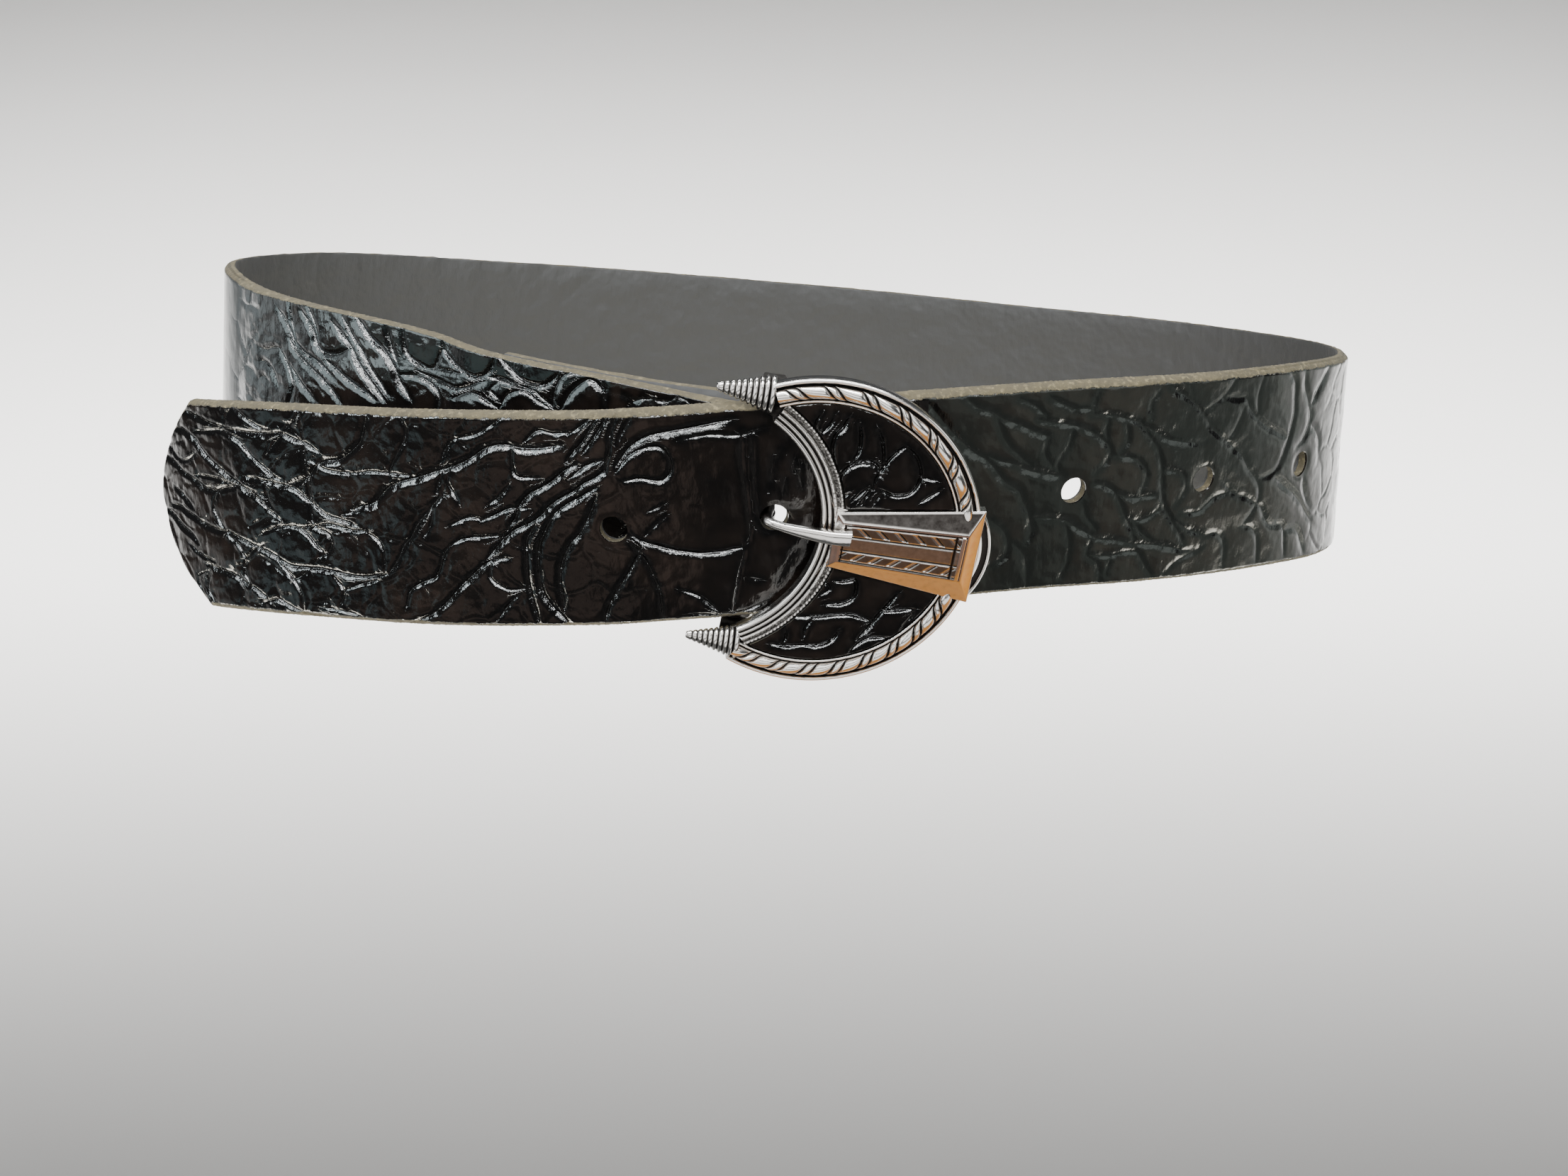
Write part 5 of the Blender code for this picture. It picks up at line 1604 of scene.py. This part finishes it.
# %% Cut, stamp and lay the inlays
inlay_low = floor_thickness + layer_gap
inlay_high = inlay_low + inlay_thickness
inlay_from, inlay_to, inlay_reach = 0.0031, 0.0466, 0.0330  # along the buckle, and off its axis
turned_down = 0.00018  # metres, at the rims
FINISH_VALUES = ("crease", "layer", "groove", "deep", "middle", "calm")
for side, side_name in SIDES:
    bm = bmesh.new()
    raised = slab(bm, 150, 104)
    for vert in bm.verts:
        u = inlay_from + (inlay_to - inlay_from) * (vert.co.x + 1) / 2
        near = left_half + (right_half - left_half) * (u - left) / (right - left)
        near += pocket_play * 1.1
        v = near + (inlay_reach - near) * (vert.co.y + 1) / 2
        vert.co = (u, side * v, inlay_high if vert in raised else inlay_low)
    inlay_disc = disc(band_centre, band_inner - pocket_play, 0, 0.01, 160)
    hollow_disc = disc(rail_centre, rail_outer + pocket_play, -0.001, 0.011, 160)
    bm = cut_with(solid(bm), (inlay_disc, "INTERSECT"), (hollow_disc, "DIFFERENCE"))
    marks = [bm.verts.layers.float.new(name) for name in FINISH_VALUES]
    verts = [v for v in bm.verts if v.co.z > inlay_high - 0.00001]
    x, y = (np.array([v.co[axis] * 1000 for v in verts]) for axis in (0, 1))
    distance, depth, half_width = inlay_field(x, y)
    height, crease = dent(distance, 1.5 * depth, 1.1 * half_width, 0.34, 2.0)
    height = (height - 0.30 + 0.05 * np.sin(x / 1.9) * np.sin(y / 2.3)) / 1000
    to_band = (band_inner - pocket_play) * 1000 - np.hypot(x - band_centre * 1000, y)
    to_hollow = np.hypot(x - rail_centre * 1000, y) - (rail_outer + pocket_play) * 1000
    height -= turned_down * np.exp(-np.maximum(np.minimum(to_band, to_hollow), 0) / 0.35)
    deep = np.minimum(1, depth / 0.3) * near_only(distance)
    for vert, rise, *values in zip(verts, height, crease, 0 * x + 1.25, distance, deep,
                                   scale_middle(distance), 0 * x + 1):
        vert.co.z += float(rise)
        for mark, value in zip(marks, values):
            vert[mark] = float(value)
    flat = bm.loops.layers.uv.new("flat")
    for face in bm.faces:
        for loop in face.loops:
            loop[flat].uv = (loop.vert.co.x * 10 + 3, loop.vert.co.y * 10)
    bmesh.ops.triangulate(bm, faces=[f for f in bm.faces if len(f.verts) > 4])
    finish_piece(f"inlay_{side_name}_leather", bm, buckle_matrix, leather_finish,
                 "inlay_" + side_name, 50)

# %% [markdown]
# The prong is a bent bar: it clasps the heel bar, comes up through the hole and then runs out
# over the rails to a square-cut end on the plate, wider and flatter as it goes.  A section is
# set at each place on its line and neighbouring sections are bridged, which lets the section
# change from a round wire to a flat bar on the way.

# %% The prong's line
# Along and up in shares of its reach and height, then half width and half height in mm
PRONG = ((0.166, 0.170, 1.25, 1.25), (0.138, 0.330, 1.25, 1.20), (0.129, 0.450, 1.20, 1.15),
         (0.134, 0.540, 1.10, 1.10), (0.170, 0.605, 1.05, 1.05), (0.250, 0.672, 1.05, 1.05),
         (0.370, 0.745, 1.15, 1.12), (0.520, 0.825, 1.35, 1.22), (0.700, 0.915, 1.52, 1.35),
         (0.860, 0.983, 1.62, 1.45), (1.000, 1.000, 1.66, 1.50))
ring_steps, line_steps = 44, 57
drift_from = 0.003  # metres along the buckle, where the prong starts to bear sideways
ring_radius = bar_radius + layer_gap + prong_ring_radius
tip_level = seat + plate_height + layer_gap + prong_radius
stations = [(ring_radius * math.cos(a), ring_radius * math.sin(a), prong_ring_radius,
             prong_ring_radius, 0.0) for a in np.radians(np.linspace(100, 352, ring_steps))]
bent = np.array(PRONG, float)
length_share = line_length(bent[:, :2] * (prong_tip_reach, tip_level))
length_share /= length_share[-1]
table = [(length_share[i], *bent[i]) for i in range(len(bent))]
prong_line = [curve_through(table, column) for column in (1, 2, 3, 4)]
for q in np.linspace(0, 1, line_steps):
    along, high, wide, tall = (float(curve(q)) for curve in prong_line)
    u, w = along * prong_tip_reach, high * tip_level
    gone = max(0.0, u - drift_from) / prong_tip_reach
    stations.append((u, w, wide / 1000, tall / 1000,
                     prong_drift * gone ** 1.4 if high > 0.4 else 0.0))
print("the prong runs through", len(stations), "sections")

# %% The prong's sections
section_sides = 28
flat_from, flat_over, flattest = 62, 25, 0.30  # sections, and how far they square off
bm = bmesh.new()
loops = []
for index, (u, w, wide, tall, drift) in enumerate(stations):
    before, after = stations[max(0, index - 1)], stations[min(len(stations) - 1, index + 1)]
    run = Vector((after[0] - before[0], 0, after[1] - before[1])).normalized()
    rise = Vector((-run.z, 0, run.x))
    if index < ring_steps:
        rise = Vector((-u, 0, -w)).normalized()
    made = bmesh.ops.create_circle(bm, segments=section_sides, radius=1.0)["verts"]
    power = 1 - flattest * float(ease((index - flat_from) / flat_over))
    for vert in made:
        c, s = vert.co.x, vert.co.y
        across = math.copysign(abs(c) ** power, c) * wide
        up = math.copysign(abs(s) ** power, s) * tall
        vert.co = Vector((u, prong_side + drift + across, w)) + rise * up
    loops.append(made)
for a, b in zip(loops, loops[1:]):
    inside_edges = {e for v in a + b for e in v.link_edges}
    bmesh.ops.bridge_loops(bm, edges=[e for e in inside_edges if not e.link_faces or
                                      (all(v in a for v in e.verts))])
close_ends(bm)
patina = bm.verts.layers.float.new("patina")
for vert in bm.verts:
    vert[patina] = 1.0 - float(ease((vert.co.z / tip_level - 0.56) / 0.10))
finish_piece("prong_bar", bm, bar_matrix, antique_silver, "prong", 40)

# %% [markdown]
# The rivet that holds the turned-back end is plain steel.  Its solid in the frame already has
# the right shape, so it stays and only gets its finish.


# %% The rivet's finish
def dull_steel():
    """Faint waviness, fine scratches and a little tarnish in patches."""
    material, tree, shader = new_material("dull_steel")
    place = object_place(tree)
    tarnish = ramp(tree, noise(tree, place, 120, 5, 0.6), (0.45, 0.0), (0.8, 1.0))
    tree.links.new(mix_colour(tree, tarnish, (0.50, 0.50, 0.49), (0.30, 0.29, 0.28)),
                   shader.inputs["Base Color"])
    tree.links.new(plus(tree, 0.30, times(tree, noise(tree, place, 420, 4), 0.12)),
                   shader.inputs["Roughness"])
    shader.inputs["Metallic"].default_value = 1.0
    tree.links.new(bumps(tree, (noise(tree, place, 260, 3), 0.00006, 0.5),
                         (noise(tree, place, 2600, 2), 0.00001, 0.4)), shader.inputs["Normal"])
    return material


rivet = frame["nodes"]["fold_rivet"]
rivet.data.materials.clear()
rivet.data.materials.append(dull_steel())
print("the rivet keeps its solid, in", rivet.data.materials[0].name)

# %% [markdown]
# The stage is one pale sheet that lies well below the belt and curves up behind it, as a paper
# roll does in a studio.  It is a grid whose rows run along a straight floor, an arc and a wall.

# %% The paper
floor_level, floor_front, floor_end, arc_radius = -0.30, -3.2, 1.2, 1.4
paper_half_width, paper_length = 4.0, 6.0
bm = bmesh.new()
bmesh.ops.create_grid(bm, x_segments=2, y_segments=48, size=1.0)
for vert in bm.verts:
    run = floor_front + paper_length * (vert.co.y + 1) / 2
    bend = min(max((run - floor_end) / arc_radius, 0), math.pi / 2)
    y = min(run, floor_end) + arc_radius * math.sin(bend)
    up_the_wall = max(run - floor_end - arc_radius * math.pi / 2, 0)
    z = floor_level + arc_radius * (1 - math.cos(bend)) + up_the_wall
    vert.co = (paper_half_width * vert.co.x, y, z)
paper_floor = new_object("paper_floor", bm)
paper_floor.data.shade_smooth()
paper, tree, shader = new_material("pale_paper")
tree.links.new(mix_colour(tree, noise(tree, object_place(tree), 3, 3), (0.78, 0.77, 0.755),
                          (0.82, 0.81, 0.80)), shader.inputs["Base Color"])
shader.inputs["Roughness"].default_value = 0.9
paper_floor.data.materials.append(paper)
print("the paper lies", round(-1000 * floor_level), "mm below the middle of the belt")

# %% [markdown]
# The camera stands where the photograph was taken from: a little above the belt, level from
# side to side, and looking down on it by about thirteen degrees.  The world behind everything is
# nearly dark, because polished leather and silver are shaped by what they mirror.

# %% Camera and world
lens = bpy.data.cameras.new("camera")
lens.lens, lens.sensor_width = 52.08, 36.0
lens.clip_start = 0.01
camera = bpy.data.objects.new("camera", lens)
camera.location = (0.0, -0.585, 0.084)
camera.rotation_euler = (math.radians(90 - 12.57), 0, 0)
bpy.context.scene.collection.objects.link(camera)
bpy.context.scene.camera = camera

world = bpy.data.worlds.new("studio")
world.use_nodes = True
world.node_tree.nodes["Background"].inputs[0].default_value = (0.90, 0.95, 1.0, 1)
world.node_tree.nodes["Background"].inputs[1].default_value = 0.06
bpy.context.scene.world = world
print("the camera is", round(1000 * camera.location.length), "mm from the middle of the belt")

# %% [markdown]
# Polished leather shows its creases only where they mirror something bright, so each side of
# the belt gets lamps and cards of its own, as a photographer flags them: soft windows and walls
# for the sheen, narrow strips for the glints, and cards low in front, which the downward facing
# sides mirror.  Light linking keeps each to its group of pieces, and only the wash on the
# paper shines on everything.


# %% Groups of pieces for the lights
def lit_group(name, *starts):
    """A group of pieces that a light can be kept to, as a studio flag keeps it."""
    group = bpy.data.collections.new(name)
    for thing in bpy.context.scene.collection.all_objects:
        if thing.type == "MESH" and thing is not paper_floor and thing.name.startswith(starts):
            group.objects.link(thing)
    return group


GROUPS = {
    "belt": ("",), "leather": ("strap", "inlay"), "far_side": ("strap_heel", "strap_back"),
    "heel": ("strap_heel",), "tail": ("strap_t", "inlay"), "side": ("strap_side", "strap_back"),
    "edge": ("strap_t", "strap_heel"), "metal": ("buckle", "horn", "prong", "lug", "heel"),
    "trim": ("buckle_band", "buckle_rails", "buckle_end", "horn", "prong"),
    "end": ("buckle_end",), "plate": ("buckle_plate", "buckle_panel", "buckle_ridge"),
    "warm": ("buckle_band", "buckle_p", "buckle_ridge", "buckle_web"),
}
groups = {name: lit_group(name + "_only", *starts) for name, starts in GROUPS.items()}
groups[None] = None


# %% Lamps and cards
def soft_light(name, place, target, size, glow, colour, group, spread=180):
    """A rectangular light of a given brightness, which is what a mirror of it shows."""
    data = bpy.data.lights.new(name, "AREA")
    data.shape, data.size, data.size_y = "RECTANGLE", *size
    data.energy, data.color = glow * math.pi * size[0] * size[1], colour
    data.spread = math.radians(spread)
    light = bpy.data.objects.new(name, data)
    light.location = place
    light.rotation_euler = (Vector(target) - Vector(place)).to_track_quat("-Z", "Y").to_euler()
    light.visible_camera = False
    if groups[group]:
        light.light_linking.receiver_collection = groups[group]
    bpy.context.scene.collection.objects.link(light)


DAY, NEUTRAL = (0.97, 0.99, 1.0), (1.0, 0.99, 0.97)
IVORY, CREAM = (1.0, 0.985, 0.96), (1.0, 0.95, 0.82)
GREEN, CARD_GREEN, ORANGE = (0.88, 1.0, 0.92), (0.84, 1.0, 0.86), (1.0, 0.37, 0.0)
FRONT, LEFT, RIGHT, BUCKLE = (0, -0.05, 0), (-0.1, 0, 0), (0.1, 0, 0), (0, -0.1, 0)
card_level = -0.285
# Name, place, what it is turned to, width and height, brightness, colour, group, spread; a row
# with a place of two numbers is a card that lies on the paper and faces up
LIGHTS = (
    ("strip_top", (0, -0.32, 1.0), FRONT, (1.5, 0.10), 50, DAY, "belt"),
    ("strip_over", (0, 0.35, 1.0), (0, 0, 0), (1.4, 0.06), 26, NEUTRAL, "belt"),
    ("strip_front", (-0.1, -1.10, 0.60), FRONT, (1.9, 0.13), 46, DAY, "leather"),
    ("strip_low", (-0.15, -1.25, 0.26), FRONT, (1.7, 0.07), 26, (0.95, 0.99, 1.0), "leather"),
    ("window_left", (-1.05, 0.35, 0.30), LEFT, (0.6, 0.8), 0.62, (0.84, 0.97, 1.0), "far_side"),
    ("wall_left", (-0.95, 0.45, 0.05), LEFT, (1.0, 0.8), 0.36, (0.86, 0.97, 1.0), "far_side"),
    ("window_front", (-0.95, -0.55, 0.42), (-0.1, -0.05, 0), (0.16, 0.7), 22, (0.86, 0.97, 1.0),
     "tail"),
    ("window_broad", (-0.95, -0.45, 0.30), (-0.1, -0.05, 0), (0.7, 0.9), 3.2, (0.80, 0.97, 1.0),
     "heel"),
    ("window_right", (1.05, 0.45, 0.25), RIGHT, (0.6, 0.8), 0.40, (0.88, 1.0, 0.93), "belt"),
    ("wall_right", (0.95, 0.40, -0.05), RIGHT, (0.8, 0.8), 0.26, (0.90, 1.0, 0.92), "leather"),
    ("sky_right", (0.85, -0.55, 0.70), RIGHT, (1.1, 1.1), 0.46, GREEN, "side"),
    ("card_brown", (-0.40, -0.52), None, (0.50, 0.36), 0.20, (1.0, 0.72, 0.60), "tail"),
    ("card_teal", (-0.86, -0.24), None, (0.42, 0.50), 0.42, (0.70, 0.95, 1.0), "tail"),
    ("card_heel", (-0.70, -0.42), None, (0.90, 0.60), 0.42, (0.66, 0.98, 0.98), "heel"),
    ("wall_front", (0.80, -1.20, 0.02), RIGHT, (2.4, 0.8), 0.95, GREEN, "side"),
    ("card_green_near", (0.02, -0.28), None, (0.80, 1.1), 0.16, CARD_GREEN, "side"),
    ("card_green", (0.91, -0.28), None, (0.98, 1.1), 0.30, CARD_GREEN, "side"),
    ("card_green_far", (1.70, 0.05), None, (0.60, 1.10), 0.36, (0.88, 1.0, 0.90), "side"),
    ("card_dark", (0.60, -0.50), None, (0.90, 0.40), 0.09, (1.0, 0.86, 0.78), "tail"),
    ("edge_low", (0.0, 0.0), None, (1.2, 0.10), 15, CREAM, "edge"),
    ("edge_side", (0.2, 0.04), None, (1.0, 0.20), 6, CREAM, "side"),
    ("metal_front", (-0.1, -1.25, 0.30), BUCKLE, (2.2, 0.75), 1.7, IVORY, "metal"),
    ("metal_low", (-0.1, -0.66), None, (1.6, 0.60), 1.4, IVORY, "trim"),
    ("metal_sky", (0, -0.75, 1.10), BUCKLE, (2.4, 0.7), 2.6, NEUTRAL, "metal"),
    ("metal_left", (-1.1, -0.35, 0.25), BUCKLE, (0.7, 0.8), 2.4, (0.98, 0.99, 1.0), "metal"),
    ("metal_side", (1.1, -0.1, 0.35), BUCKLE, (0.7, 0.5), 1.8, NEUTRAL, "metal"),
    ("end_low", (0.55, -0.16), None, (0.9, 0.5), 1.7, IVORY, "end"),
    ("warm_below", (0.0, -0.11), None, (0.70, 0.46), 0.55, ORANGE, "warm"),
    ("warm_right", (0.72, -0.11), None, (0.74, 0.46), 0.85, ORANGE, "warm"),
    ("warm_front", (0.0, -0.66), None, (1.6, 0.60), 0.19, (1.0, 0.48, 0.30), "plate"),
    ("paper_wash", (0, 1.3, 1.7), (0, 1.35, -0.3), (2.8, 0.7), 10, (1.0, 0.995, 0.98), None, 70),
)
for name, place, target, *rest in LIGHTS:
    if len(place) == 2:
        place, target = (*place, card_level), (*place, 1)
    soft_light(name, place, target, *rest)
print(len(LIGHTS), "lamps and cards")
